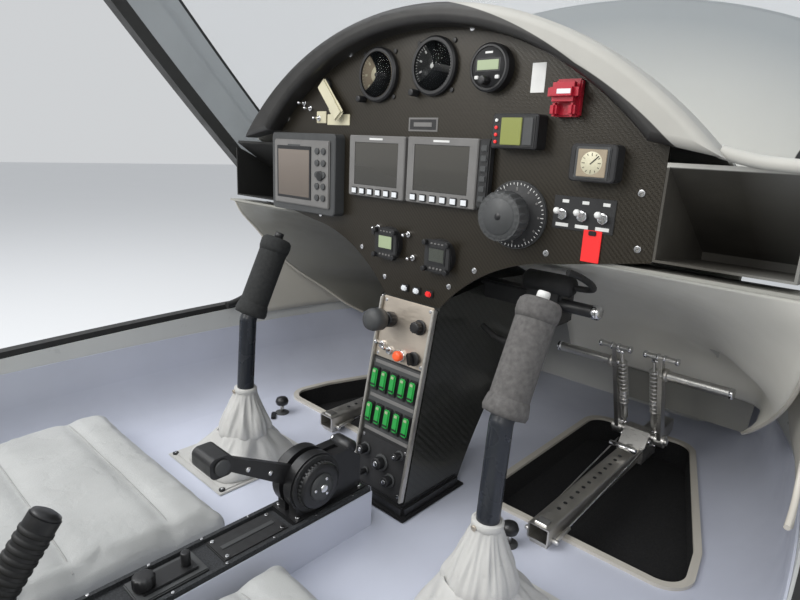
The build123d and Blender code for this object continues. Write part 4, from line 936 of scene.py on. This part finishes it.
def ring_of(x, y, z, half_x, half_y, power, depth, folds, seed, count=88):
    """Rounded square or round ring with gathered folds of the given depth."""
    ring = []
    for k in range(count):
        angle = 2 * pi * k / count
        c, s = cos(angle), sin(angle)
        reach = (abs(c / half_x) ** power + abs(s / half_y) ** power) ** (-1 / power)
        sway = noise.noise(Vector((c * 1.3, s * 1.3, z * 14 + seed)))
        crease = sin(folds * angle + 3.0 * sway)
        crumple = noise.noise(Vector((c * 2.6, s * 2.6, z * 34 + seed * 2)))
        pinch = -abs(noise.noise(Vector((c * 4.1, s * 4.1, z * 22 + seed * 3)))) * 2.2 + 0.6
        reach += depth * (0.5 * crease + 0.9 * crumple + pinch)
        ring.append((x + reach * c, y + reach * s, z))
    return ring


# Height, half width across, half width fore and aft, squareness, share of the skirt's offset and fold
# depth of each ring
SKIRT = [(-0.0972, 0.0765, 0.0845, 5.0, 1.00, 0.0006), (-0.0930, 0.0790, 0.0870, 4.5, 1.00, 0.0012),
         (-0.0850, 0.0780, 0.0860, 4.0, 0.95, 0.0026), (-0.0740, 0.0725, 0.0790, 3.6, 0.80, 0.0042),
         (-0.0620, 0.0640, 0.0690, 3.0, 0.60, 0.0048), (-0.0500, 0.0555, 0.0590, 2.6, 0.35, 0.0044),
         (-0.0400, 0.0490, 0.0505, 2.3, 0.12, 0.0034), (-0.0320, 0.0450, 0.0455, 2.0, 0.00, 0.0022)]
# Height and radius of the sleeve, and its fold depth
SLEEVE = [(-0.0400, 0.0470, 0.0020), (-0.0340, 0.0482, 0.0028), (-0.0240, 0.0450, 0.0040),
          (-0.0120, 0.0402, 0.0042), (0.0010, 0.0345, 0.0038), (0.0140, 0.0288, 0.0030),
          (0.0260, 0.0236, 0.0020), (0.0360, 0.0204, 0.0010), (0.0440, 0.0192, 0.0003),
          (0.0480, 0.0186, 0.0)]
SKIN = 0.0022  # thickness of the leather


def skirt_ring(hand, inside, z, wide, deep, power, share, folds):
    """Ring of the skirt, on its outer face or, when inside is 1, its inner one."""
    return ring_of(hand * (STICK_X + 0.008 * share), PIVOT[0] + 0.003 * share, z + 0.001 * inside,
                   wide - SKIN * inside, deep - SKIN * inside, power, folds, 9, hand)


def sleeve_ring(hand, inside, z, radius, folds):
    """Ring of the sleeve, on its outer face or, when inside is 1, its inner one."""
    radius -= SKIN * inside
    return ring_of(hand * STICK_X, PIVOT[0] + (z - PIVOT[1]) * TUBE_LEAN, z, radius, radius, 2.0,
                   folds, 7, hand + 5)


for hand, name in SIDES:
    x = hand * STICK_X
    skirt = skin("boot_skirt_" + name, [skirt_ring(hand, 0, *row) for row in SKIRT]
                 + [skirt_ring(hand, 1, *row) for row in reversed(SKIRT[1:])])
    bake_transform(skirt)
    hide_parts("boot_" + name)

    sleeve = skin("boot_gather_" + name, [sleeve_ring(hand, 0, *row) for row in SLEEVE]
                  + [sleeve_ring(hand, 1, *row) for row in reversed(SLEEVE)])
    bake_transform(sleeve)
    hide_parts("boot_sleeve_" + name)

    plate = Shape("boot_plate_" + name,
                  frame_at((x + hand * 0.016, 1.156, FLOOR_Z), (0, 0, 1), (0, 1, 0)))
    plate.box(0, 0, 0, 0.186, 0.206, 0.003, "boot", 0.0012)
    plate.box(-hand * 0.004, -0.002, 0.003, 0.166, 0.182, 0.0016, "boot", 0.0008)
    for across in (-0.083, 0.083):
        for fore in (-0.093, 0.0, 0.093):
            plate.knob(across, fore, 0.003, 0.0055, 0.003, "black")
            plate.knob(across, fore, 0.0058, 0.0024, 0.0012, "chrome")
    plate.done("boot_leather")

    band = Shape("boot_band_" + name, frame_at((x, PIVOT[0] + 0.0064, 0.042), (0, TUBE_LEAN, 1), (0, 1, 0)),
                 "stick_" + name)
    band.turned(0, 0, 0, [(0.0196, -0.005), (0.0206, -0.004), (0.0206, 0.004), (0.0196, 0.005)], "boot", 40)
    band.rod((x - 0.006, 1.1365, 0.0415), (x - 0.006, 1.1335, 0.0413), 0.0038, "plate")
    band.done("boot_leather")

# %% [markdown]
# ## Linings: the bowls over the knees and the side fairings
#
# Each is a smooth sheet through a few rows of points, given for the right side and mirrored.

# %%
LINING = 0.003  # thickness of a bowl or fairing


def through(points, per=6):
    """Points on a smooth curve that passes through all the given ones."""
    points = [Vector(p) for p in points]
    ends = [points[0] * 2 - points[1], *points, points[-1] * 2 - points[-2]]
    curve = []
    for a, b, c, d in zip(ends, ends[1:], ends[2:], ends[3:]):
        for k in range(per):
            t = k / per
            curve.append(0.5 * (2 * b + (c - a) * t + (2 * a - 5 * b + 4 * c - d) * t * t
                                + (3 * b - a - 3 * c + d) * t * t * t))
    return curve + [points[-1]]


def lining(name, rows, paint, hand):
    """Sheet through rows of points, thickened to both sides of them."""
    rows = [through([(hand * x, y, z) for x, y, z in row]) for row in rows]
    columns = [through(column, 5) for column in zip(*rows)]
    count = len(columns[0])
    points = [spot for column in columns for spot in column]
    faces = [(c * count + r, (c + 1) * count + r, (c + 1) * count + r + 1, c * count + r + 1)
             for c in range(len(columns) - 1) for r in range(count - 1)]
    made = surface(name, points, faces, paint)
    solid = made.modifiers.new("thick", "SOLIDIFY")
    solid.thickness = LINING
    solid.offset = 0.0
    bake(made)
    smooth_out(made, 0)
    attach(made, "cockpit")


# Height of each row, then X and Y of its points from the pedestal outwards
BOWL = [(0.358, (0.070, 1.308), (0.190, 1.308), (0.330, 1.308), (0.440, 1.308), (0.532, 1.308)),
        (0.330, (0.070, 1.400), (0.190, 1.400), (0.330, 1.388), (0.448, 1.355), (0.534, 1.325)),
        (0.290, (0.070, 1.515), (0.190, 1.515), (0.340, 1.490), (0.460, 1.415), (0.530, 1.362)),
        (0.240, (0.070, 1.620), (0.190, 1.620), (0.343, 1.592), (0.454, 1.484), (0.524, 1.402)),
        (0.190, (0.070, 1.690), (0.190, 1.690), (0.346, 1.670), (0.450, 1.546), (0.510, 1.454)),
        (0.140, (0.070, 1.732), (0.190, 1.732), (0.404, 1.732), (0.460, 1.640), (0.489, 1.522)),
        (0.095, (0.070, 1.758), (0.190, 1.758), (0.416, 1.750), (0.456, 1.674), (0.462, 1.576)),
        (0.068, (0.070, 1.778), (0.190, 1.778), (0.416, 1.770), (0.450, 1.695), (0.444, 1.620))]
# Fairing ahead of the canopy's sill: from its foot on the side wall up to the deck
FAIRING = [((0.5530, 1.352, 0.085), (0.5440, 1.430, 0.085), (0.5340, 1.500, 0.085), (0.5220, 1.565, 0.085),
            (0.5080, 1.620, 0.085)),
           ((0.5500, 1.366, 0.150), (0.5420, 1.430, 0.150), (0.5260, 1.500, 0.150), (0.5080, 1.560, 0.150),
            (0.4920, 1.612, 0.150)),
           ((0.5460, 1.384, 0.230), (0.5400, 1.430, 0.230), (0.5130, 1.490, 0.225), (0.4900, 1.540, 0.215),
            (0.4740, 1.590, 0.200)),
           ((0.5430, 1.392, 0.300), (0.5380, 1.425, 0.298), (0.5080, 1.475, 0.290), (0.4820, 1.520, 0.275),
            (0.4660, 1.565, 0.255)),
           ((0.5400, 1.396, 0.352), (0.5360, 1.420, 0.348), (0.5060, 1.462, 0.335), (0.4780, 1.505, 0.315),
            (0.4620, 1.548, 0.292))]
TRIM = ((0.5560, 1.290, 0.118), (0.5550, 1.325, 0.124), (0.5520, 1.352, 0.142), (0.5500, 1.366, 0.175),
        (0.5460, 1.384, 0.235), (0.5430, 1.392, 0.300), (0.5400, 1.396, 0.352))
for hand, name in SIDES:
    rows = [[(x, y, z) for x, y in row] for z, *row in BOWL]
    # The left bowl's darker paint is painted shade.
    lining("knee_bowl_" + name, rows, "bowl" if hand > 0 else "bowl_left", hand)
    lining("side_fairing_" + name, FAIRING, "cabin_wall", hand)
    trim = Shape("fairing_seal_" + name)
    side_trim = (0.0075, "rubber") if hand < 0 else (0.0035, "bead")
    trim.pipe([(hand * (x - LINING), y, z) for x, y, z in TRIM], *side_trim)
    edge = through([row[-1] for row in rows], 3)
    trim.pipe([(hand * x, y, z) for x, y, z in edge], 0.0028, "bead", 8, 4)
    trim.done("seal_rubber")

lip = Shape("tray_lip")
lip.pipe([(0.424, 1.286, 0.5), (0.452, 1.288, 0.492), (0.484, 1.29, 0.489), (0.514, 1.292, 0.488)],
         0.007, "deck", 16, 12)
lip.done("cover_beige")

# %% [markdown]
# ## Grips

# %%
GRIP_FOOT = Vector((0, 1.173, 0.193))
GRIP_TOP = Vector((0, 1.23, 0.314))
GRIP_UP = (GRIP_TOP - GRIP_FOOT).normalized()
for hand, name in SIDES:
    place = frame_at(GRIP_FOOT + Vector((hand * STICK_X, 0, 0)), GRIP_UP, (1, 0, 0))
    foot = Shape("grip_foot_" + name, place, "stick_" + name)
    long = (GRIP_TOP - GRIP_FOOT).length
    foam_paint, button, slot = (("foam_light", "white", "foam_brown") if hand > 0 else
                                ("foam_dark", "black", "foam_black"))
    foot.turned(0, 0, -0.012, [(0.0158, 0), (0.027, 0.002), (0.0288, 0.008), (0.0278, 0.016),
                               (0.0256, 0.024)], foam_paint, 48)
    foot.turned(0, 0, long - 0.024, [(0.0252, 0), (0.0272, 0.007), (0.0276, 0.016), (0.0262, 0.023),
                                     (0.022, 0.027), (0.009, 0.028)], foam_paint, 48)
    foot.turned(0, 0, long + 0.002, [(0.0082, 0), (0.0082, 0.01), (0.0072, 0.012), (0.002, 0.0125)],
                button, 24)
    foot.done(slot)

# %% [markdown]
# ## Seats
#
# Each cushion starts as a rounded block, is remeshed, and swells under a little pressure as cloth. Then
# the sewn channels are pressed in, and a seam is laid along each on the finished surface.

# %%
SEAT_X = 0.2845
LEAN_OUT = Vector((0, 0.57, 0.325)).normalized()
LEAN_UP = Vector((0, -0.325, 0.57)).normalized()
PRESSURE = 4.0
CLOTH_FRAMES = 20
SWELL = 0.012  # how far the cloth may move a point
TUCKED = 0.01  # how far the block starts inside the finished cushion
VOXEL = 0.006
CHANNEL_DEEP, CHANNEL_WIDE = 0.007, 0.013


def swell(made, place, half):
    """Cloth under pressure, each point moving by at most SWELL and none below the cushion's foot."""
    start = [v.co.copy() for v in made.data.vertices]
    cloth = made.modifiers.new("cloth", "CLOTH")
    cloth.settings.use_pressure = True
    cloth.settings.uniform_pressure_force = PRESSURE
    cloth.settings.effector_weights.gravity = 0.0
    cloth.settings.quality = 4
    cloth.point_cache.frame_start = 1
    cloth.point_cache.frame_end = CLOTH_FRAMES
    for number in range(1, CLOTH_FRAMES + 1):
        bpy.context.scene.frame_set(number)
    bake(made)
    back = place.inverted()
    for vertex, was in zip(made.data.vertices, start):
        move = vertex.co - was
        if move.length > SWELL:
            move *= SWELL / move.length
        local = back @ (was + move)
        local.z = max(local.z, -half[2])
        vertex.co = place @ local
    bpy.context.scene.frame_set(1)


def seat_pad(name, place, half, channels, slot, replaced):
    """Upholstered block in the frame place, whose z points out of the seat."""
    bm = bmesh.new()
    bmesh.ops.create_cube(bm, size=2)
    size = Vector(half) - Vector((TUCKED, TUCKED, TUCKED * 0.5))
    for v in bm.verts:
        v.co = Vector((v.co.x * size.x, v.co.y * size.y, v.co.z * size.z))
    bmesh.ops.bevel(bm, geom=list(bm.edges), offset=size.z * 0.72, segments=5, profile=0.5, affect="EDGES")
    mesh = bpy.data.meshes.new(name)
    bm.to_mesh(mesh)
    bm.free()
    mesh.transform(place)
    made = linked(name, mesh)
    blocks = made.modifiers.new("remesh", "REMESH")
    blocks.mode = "VOXEL"
    blocks.voxel_size = VOXEL
    bake(made)
    swell(made, place, half)
    back = place.inverted()
    for vertex in made.data.vertices:
        p = back @ vertex.co
        across, along_it = p.x / half[0], p.y / half[1]
        if p.z > -half[2] * 0.4:
            rise = (1 - min(1, abs(across)) ** 2.4) * (1 - min(1, abs(along_it)) ** 2.4)
            valley = sum(2.718 ** (-(((p.y - line) / CHANNEL_WIDE) ** 2)) for line in channels)
            soft = noise.noise(Vector((p.x * 9, p.y * 9, 3.1))) * 0.0022
            p.z += 0.01 * rise - CHANNEL_DEEP * valley * (1 - 0.3 * abs(across)) + soft
        for axis in (0, 1):
            other = along_it if axis == 0 else across
            edge = abs(p[axis]) / half[axis]
            if edge > 0.8:
                p[axis] -= (1 if p[axis] > 0 else -1) * 0.004 * max(0, 1 - other * other) * (edge - 0.8) * 5
        wrinkle = noise.noise(Vector((p.x * 60, p.y * 22, p.z * 60))) * 0.0007
        p.z = max(p.z + wrinkle, -half[2])
        vertex.co = place @ p
    made.data.materials.clear()
    made.data.materials.append(PAINTS["seat"].material)
    smooth_out(made)
    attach(made, "cockpit")
    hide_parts(replaced)

    leather_skin = BVHTree.FromPolygons([v.co.copy() for v in made.data.vertices],
                                        [tuple(f.vertices) for f in made.data.polygons])
    away = (place.to_3x3() @ Vector((0, 0, 0.2))).normalized()
    seams = Shape(name + "_seams")
    for line in channels:
        above = [place @ Vector((half[0] * (k / 14 - 1) * 0.97, line, 0)) + away * 0.35 for k in range(29)]
        spots = [leather_skin.ray_cast(start, -away)[0] for start in above]
        seams.pipe([spot for spot in spots if spot], 0.0013, "seam", 8, 4)
    seams.done(slot)


for hand, name in SIDES:
    flat = Matrix.Translation((hand * SEAT_X, 0.816, -0.0637))
    seat_pad("cushion_" + name, flat, (0.2425, 0.196, 0.031), (0.1, -0.025), "leather_grey",
             "seat_cushion_" + name)
    middle = Vector((hand * SEAT_X, 0.4088, 0.2466))
    leaning = frame_at(middle, LEAN_OUT, LEAN_UP)
    seat_pad("backrest_" + name, leaning, (0.215, 0.28, 0.035), (0.17, 0.03, -0.11), "leather_grey",
             "seat_back_" + name)

# %% [markdown]
# ## Quadrant, levers and the tunnel between the seats

# %%
for hand, name in reversed(SIDES):
    place = frame_at((hand * 0.021, 1.085, 0.013), (hand, 0, 0), (0, 0, 1))
    disc = Shape("friction_disc_" + name, place)
    disc.knob(0, 0, 0, 0.043, 0.0035, "matte_black")
    disc.turned(0, 0, 0.0035, [(0.033, 0), (0.0345, 0.002), (0.0345, 0.0085), (0.0325, 0.0105),
                               (0.027, 0.011)], "black", 72)
    for k in range(36):
        angle = 2 * pi * k / 36
        disc.box(0.0345 * sin(angle), 0.0345 * cos(angle), 0.0045, 0.0026, 0.0022, 0.006, "dark_grey", 0.0004,
                 -angle)
    disc.turned(0, 0, 0.014, [(0.0205, 0), (0.02, 0.003), (0.012, 0.0036)], "dark_grey", 40)
    disc.knob(0, 0, 0.017, 0.0062, 0.0045, "chrome", 6)
    for k in range(3):
        angle = 2 * pi * k / 3 + 0.5
        disc.knob(0.0135 * sin(angle), 0.0135 * cos(angle), 0.0165, 0.0024, 0.002, "chrome")
    disc.done("black_metal")

mixture = Shape("mixture_knob")
mixture.rod((0.0, 1.15, 0.018), (0.0, 1.156, 0.034), 0.005, "steel")
mixture.rod((-0.02, 1.158, 0.04), (0.02, 1.158, 0.04), 0.0115, "black", 28)
mixture.rod((-0.027, 1.158, 0.04), (-0.0195, 1.158, 0.04), 0.006, "chrome", 20)
mixture.done("black_metal")

lever = Shape("lever_details")
for y, z in ((1.02, 0.048), (0.985, 0.068)):
    lever.rod((-0.0062, y, z), (0.0062, y, z), 0.0042, "chrome")
for near, far in ((-0.0255, -0.0218), (0.0218, 0.0255)):
    lever.rod((near, 0.937, 0.099), (far, 0.937, 0.099), 0.0105, "dark_grey", 28)
lever.done("knob_black")

console = Shape("tunnel_details", frame_at((0, 0, -0.038), (0, 0, 1), (0, 1, 0)))
console.box(0, 0.985, 0, 0.05, 0.1, 0.004, "matte_black", 0.0015)
console.box(0.0, 0.985, 0.004, 0.008, 0.082, 0.0012, "dark_grey", 0.0005)
for y in (0.942, 1.028):
    for x in (-0.019, 0.019):
        console.knob(x, y, 0.004, 0.003, 0.0016, "chrome")
console.box(0, 0.87, 0, 0.046, 0.088, 0.005, "dark_grey", 0.0015)
console.box(0, 0.87, 0.005, 0.03, 0.07, 0.003, "black", 0.001)
console.knob(0, 0.842, 0.008, 0.0135, 0.014, "black", 12)
console.knob(0, 0.895, 0.008, 0.006, 0.018, "black")
for y in (1.052, 1.172):
    for x in (-0.022, 0.022):
        console.knob(x, y, 0.008, 0.0036, 0.003, "chrome", 6)
for hand in (-1, 1):
    for k in range(11):
        console.knob(hand * 0.032, 0.43 + 0.072 * k, 0.006, 0.0021, 0.001, "chrome")
console.done("carpet_black")

brake = Shape("brake_grip", frame_at((0, 0.688, 0.026), (0, 0.6, 0.8), (1, 0, 0)))
for k in range(9):
    brake.turned(0, 0, 0.01 + 0.0095 * k, [(0.017, 0), (0.0181, 0.0016), (0.0181, 0.0046), (0.017, 0.0062)],
                 "rubber", 32)
brake.turned(0, 0, 0.1045, [(0.0165, 0), (0.015, 0.004), (0.008, 0.0065)], "black", 32)
brake.done("knob_black")

# %% [markdown]
# ## Studs and knobs on the floor

# %%
studs = Shape("floor_knobs", frame_at((0, 0, FLOOR_Z), (0, 0, 1), (0, 1, 0)))
for x, y in ((-0.384, 1.32), (0.218, 1.309)):
    studs.turned(x, y, 0, [(0.015, 0), (0.015, 0.0016), (0.013, 0.0026)], "dark_grey", 28)
    studs.disc(x, y, 0.002, 0.0042, 0.018, "steel", 16)
    studs.turned(x, y, 0.018, [(0.006, 0), (0.0125, 0.0035), (0.0145, 0.01), (0.0118, 0.017),
                               (0.005, 0.02)], "black", 28)
    studs.box(x + 0.004, y - 0.026, 0, 0.01, 0.03, 0.0055, "black", 0.0018, 0.9)
studs.done("knob_black")

# %% [markdown]
# ## Pedals
#
# The shaft, the pedal's top and its bar are given by Y and Z.

# %%
RAIL_X = 0.252
SHAFT = (1.73, -0.046)
PEDAL_TOP = (1.65, 0.146)
BAR = (1.664, 0.112)
for hand, seat in SIDES:
    for foot, which in SIDES:
        x = hand * RAIL_X + foot * 0.042
        pedal = Shape(f"pedal_details_{seat}_{which}", body=f"pedal_{seat}_{which}")
        end = x + foot * 0.116
        pedal.rod((end - foot * 0.004, *BAR), (end + foot * 0.0045, *BAR), 0.0098, "chrome", 28)
        pedal.rod((x + foot * 0.0045, *BAR), (x + foot * 0.012, *BAR), 0.0125, "aluminium", 28)
        for y, z in (SHAFT, BAR, PEDAL_TOP):
            for near, far in ((-0.008, -0.0035), (0.0035, 0.008)):
                pedal.rod((x + near, y, z), (x + far, y, z), 0.0075, "chrome", 6)
        for side_x in (-0.028, 0.028):
            ends = [(x + side_x + reach, *PEDAL_TOP) for reach in (-0.003, 0.003)]
            pedal.rod(*ends, 0.0068, "chrome", 20)
        strut = x - foot * 0.0125
        pedal.rod((strut, 1.7255, -0.03), (strut, 1.654, 0.136), 0.003, "aluminium")
        pedal.rod((strut, 1.72, -0.018), (strut, 1.692, 0.048), 0.0068, "steel", 20)
        for k in range(11):
            share = 0.3 + 0.055 * k
            y, z = 1.7255 - 0.0715 * share, -0.03 + 0.166 * share
            pedal.rod((strut, y, z), (strut, y - 0.0016, z + 0.0036), 0.0088, "steel", 20)
        for reach, y, z in ((0.002, 1.6535, 0.137), (-0.002, 1.726, -0.031)):
            pedal.rod((x - foot * 0.0165, y, z), (x + foot * reach, y, z), 0.004, "chrome")
        pedal.done("steel")

    fixed = Shape("carriage_details_" + seat)
    x = hand * RAIL_X
    for reach in (-1, 1):
        for start, end, *finish in (
                ((0.025, 1.712, -0.05), (0.029, 1.712, -0.05), 0.005, "chrome", 6),
                ((0.025, 1.752, -0.072), (0.029, 1.752, -0.072), 0.005, "chrome", 6),
                ((0.023, 1.35, -0.086), (0.0275, 1.7, -0.056), 0.0016, "chrome", 10),
                ((0.0235, 1.352, -0.0859), (0.025, 1.392, -0.0824), 0.0034, "aluminium"),
                ((0.016, 1.35, -0.087), (0.029, 1.35, -0.087), 0.0042, "steel")):
            ends = [(x + reach * across, y, z) for across, y, z in (start, end)]
            fixed.rod(*ends, *finish)
    fixed.rod((x, 1.7, -0.064), (x, 1.652, -0.048), 0.0042, "steel")
    fixed.rod((x - 0.026, 1.65, -0.0475), (x + 0.026, 1.65, -0.0475), 0.0056, "chrome", 20)
    for k in range(12):
        fixed.rod((x, 1.4 + 0.022 * k, -0.0642), (x, 1.4 + 0.022 * k, -0.0628), 0.0034, "black")
    fixed.box(x, 1.35, -0.0642, 0.02, 0.018, 0.003, "chrome", 0.001)
    fixed.done("steel")

# %% [markdown]
# ## Valve block and pipes beside the pedestal

# %%
block = Shape("valve_block", frame_at((0, 1.42, 0), (0, -1, 0), (0, 0, 1)))
block.box(0.125, 0.262, -0.03, 0.15, 0.03, 0.03, "matte_black", 0.003)
block.box(0.185, 0.27, -0.02, 0.06, 0.07, 0.05, "black", 0.004)
block.rod((0.15, 1.398, 0.3), (0.232, 1.398, 0.3), 0.016, "rubber", 28)
block.rod((0.2, 1.4, 0.27), (0.268, 1.4, 0.27), 0.0095, "black", 24)
block.rod((0.262, 1.4, 0.27), (0.276, 1.4, 0.27), 0.011, "chrome", 24)
block.rod((0.165, 1.384, 0.245), (0.165, 1.372, 0.245), 0.012, "dark_grey", 24)
block.rod((0.205, 1.386, 0.262), (0.205, 1.372, 0.262), 0.0095, "chrome", 24)
block.pipe([(0.232, 1.398, 0.3), (0.262, 1.398, 0.3), (0.276, 1.36, 0.318), (0.268, 1.318, 0.338),
            (0.262, 1.308, 0.34)], 0.0046, "rubber", 12, 8)
block.pipe([(0.17, 1.388, 0.245), (0.17, 1.375, 0.205), (0.12, 1.38, 0.19), (0.08, 1.395, 0.205)],
           0.0052, "rubber", 12, 8)
block.done("black_metal")

# %% [markdown]
# ## Camera, light and floor
#
# The camera stands over the right seat and looks forward and to the left, as the photograph does.

# %%
RIGHT = Vector((0.7323, 0.68, 0.046))
DOWN = Vector((0.1994, -0.165, -0.963))
camera = linked("camera", bpy.data.cameras.new("camera"))
ahead = RIGHT.cross(DOWN).normalized()
right = RIGHT.normalized()
above = right.cross(ahead)
turn = Matrix((right, above, -ahead)).transposed().to_4x4()
camera.matrix_world = Matrix.Translation((0.6, 0.61, 0.49)) @ turn
camera.data.lens = 26.0
camera.data.sensor_width = 36.0
camera.data.clip_start = 0.02
bpy.context.scene.camera = camera

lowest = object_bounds()[0].z
floor_mesh = bpy.data.meshes.new("studio_floor")
bm = bmesh.new()
bmesh.ops.create_grid(bm, x_segments=8, y_segments=8, size=14)
bm.to_mesh(floor_mesh)
bm.free()
floor = linked("studio_floor", floor_mesh)
floor.location = (0, 1.0, lowest - 0.002)
floor_mesh.materials.append(Paint("studio", (0.64, 0.645, 0.65), 0.8).rough(0.75, 0.9, 2).material)

# The air lights with one colour and is seen, reflected and looked through in a darker one
world = bpy.data.worlds.new("studio_air")
world.use_nodes = True
air, join = world.node_tree.nodes, world.node_tree.links.new
air["Background"].inputs["Color"].default_value = (0.93, 0.96, 1.0, 1)
air["Background"].inputs["Strength"].default_value = 0.78
seen = air.new("ShaderNodeBackground")
seen.inputs["Color"].default_value = (0.62, 0.635, 0.65, 1)
ray = air.new("ShaderNodeLightPath").outputs
factor = ray["Is Camera Ray"]
for kind in ("Is Glossy Ray", "Is Transmission Ray"):
    larger = air.new("ShaderNodeMath")
    larger.operation = "MAXIMUM"
    join(factor, larger.inputs[0])
    join(ray[kind], larger.inputs[1])
    factor = larger.outputs[0]
choice = air.new("ShaderNodeMixShader")
for source, socket in ((factor, choice.inputs["Fac"]), (air["Background"].outputs[0], choice.inputs[1]),
                       (seen.outputs[0], choice.inputs[2]),
                       (choice.outputs[0], air["World Output"].inputs["Surface"])):
    join(source, socket)
bpy.context.scene.world = world


def soft_light(name, place, aim, size, power, colour=(1, 1, 1)):
    lamp = linked(name, bpy.data.lights.new(name, "AREA"))
    lamp.data.size = size
    lamp.data.energy = power
    lamp.data.color = colour
    lamp.location = place
    lamp.rotation_euler = (Vector(aim) - Vector(place)).to_track_quat("-Z", "Y").to_euler()


soft_light("sky", (-1.6, 0.2, 3.2), (0, 1.1, 0.0), 2.6, 70, (0.97, 0.98, 1.0))
soft_light("fill", (-0.7, -0.3, 1.5), (0.4, 1.55, 0.12), 1.4, 26, (1.0, 0.99, 0.96))
soft_light("behind", (1.6, -1.6, 2.2), (0, 1.2, 0.2), 1.8, 36, (1.0, 0.98, 0.95))
bpy.context.scene.view_settings.view_transform = "Standard"
bpy.context.scene.view_settings.look = "None"
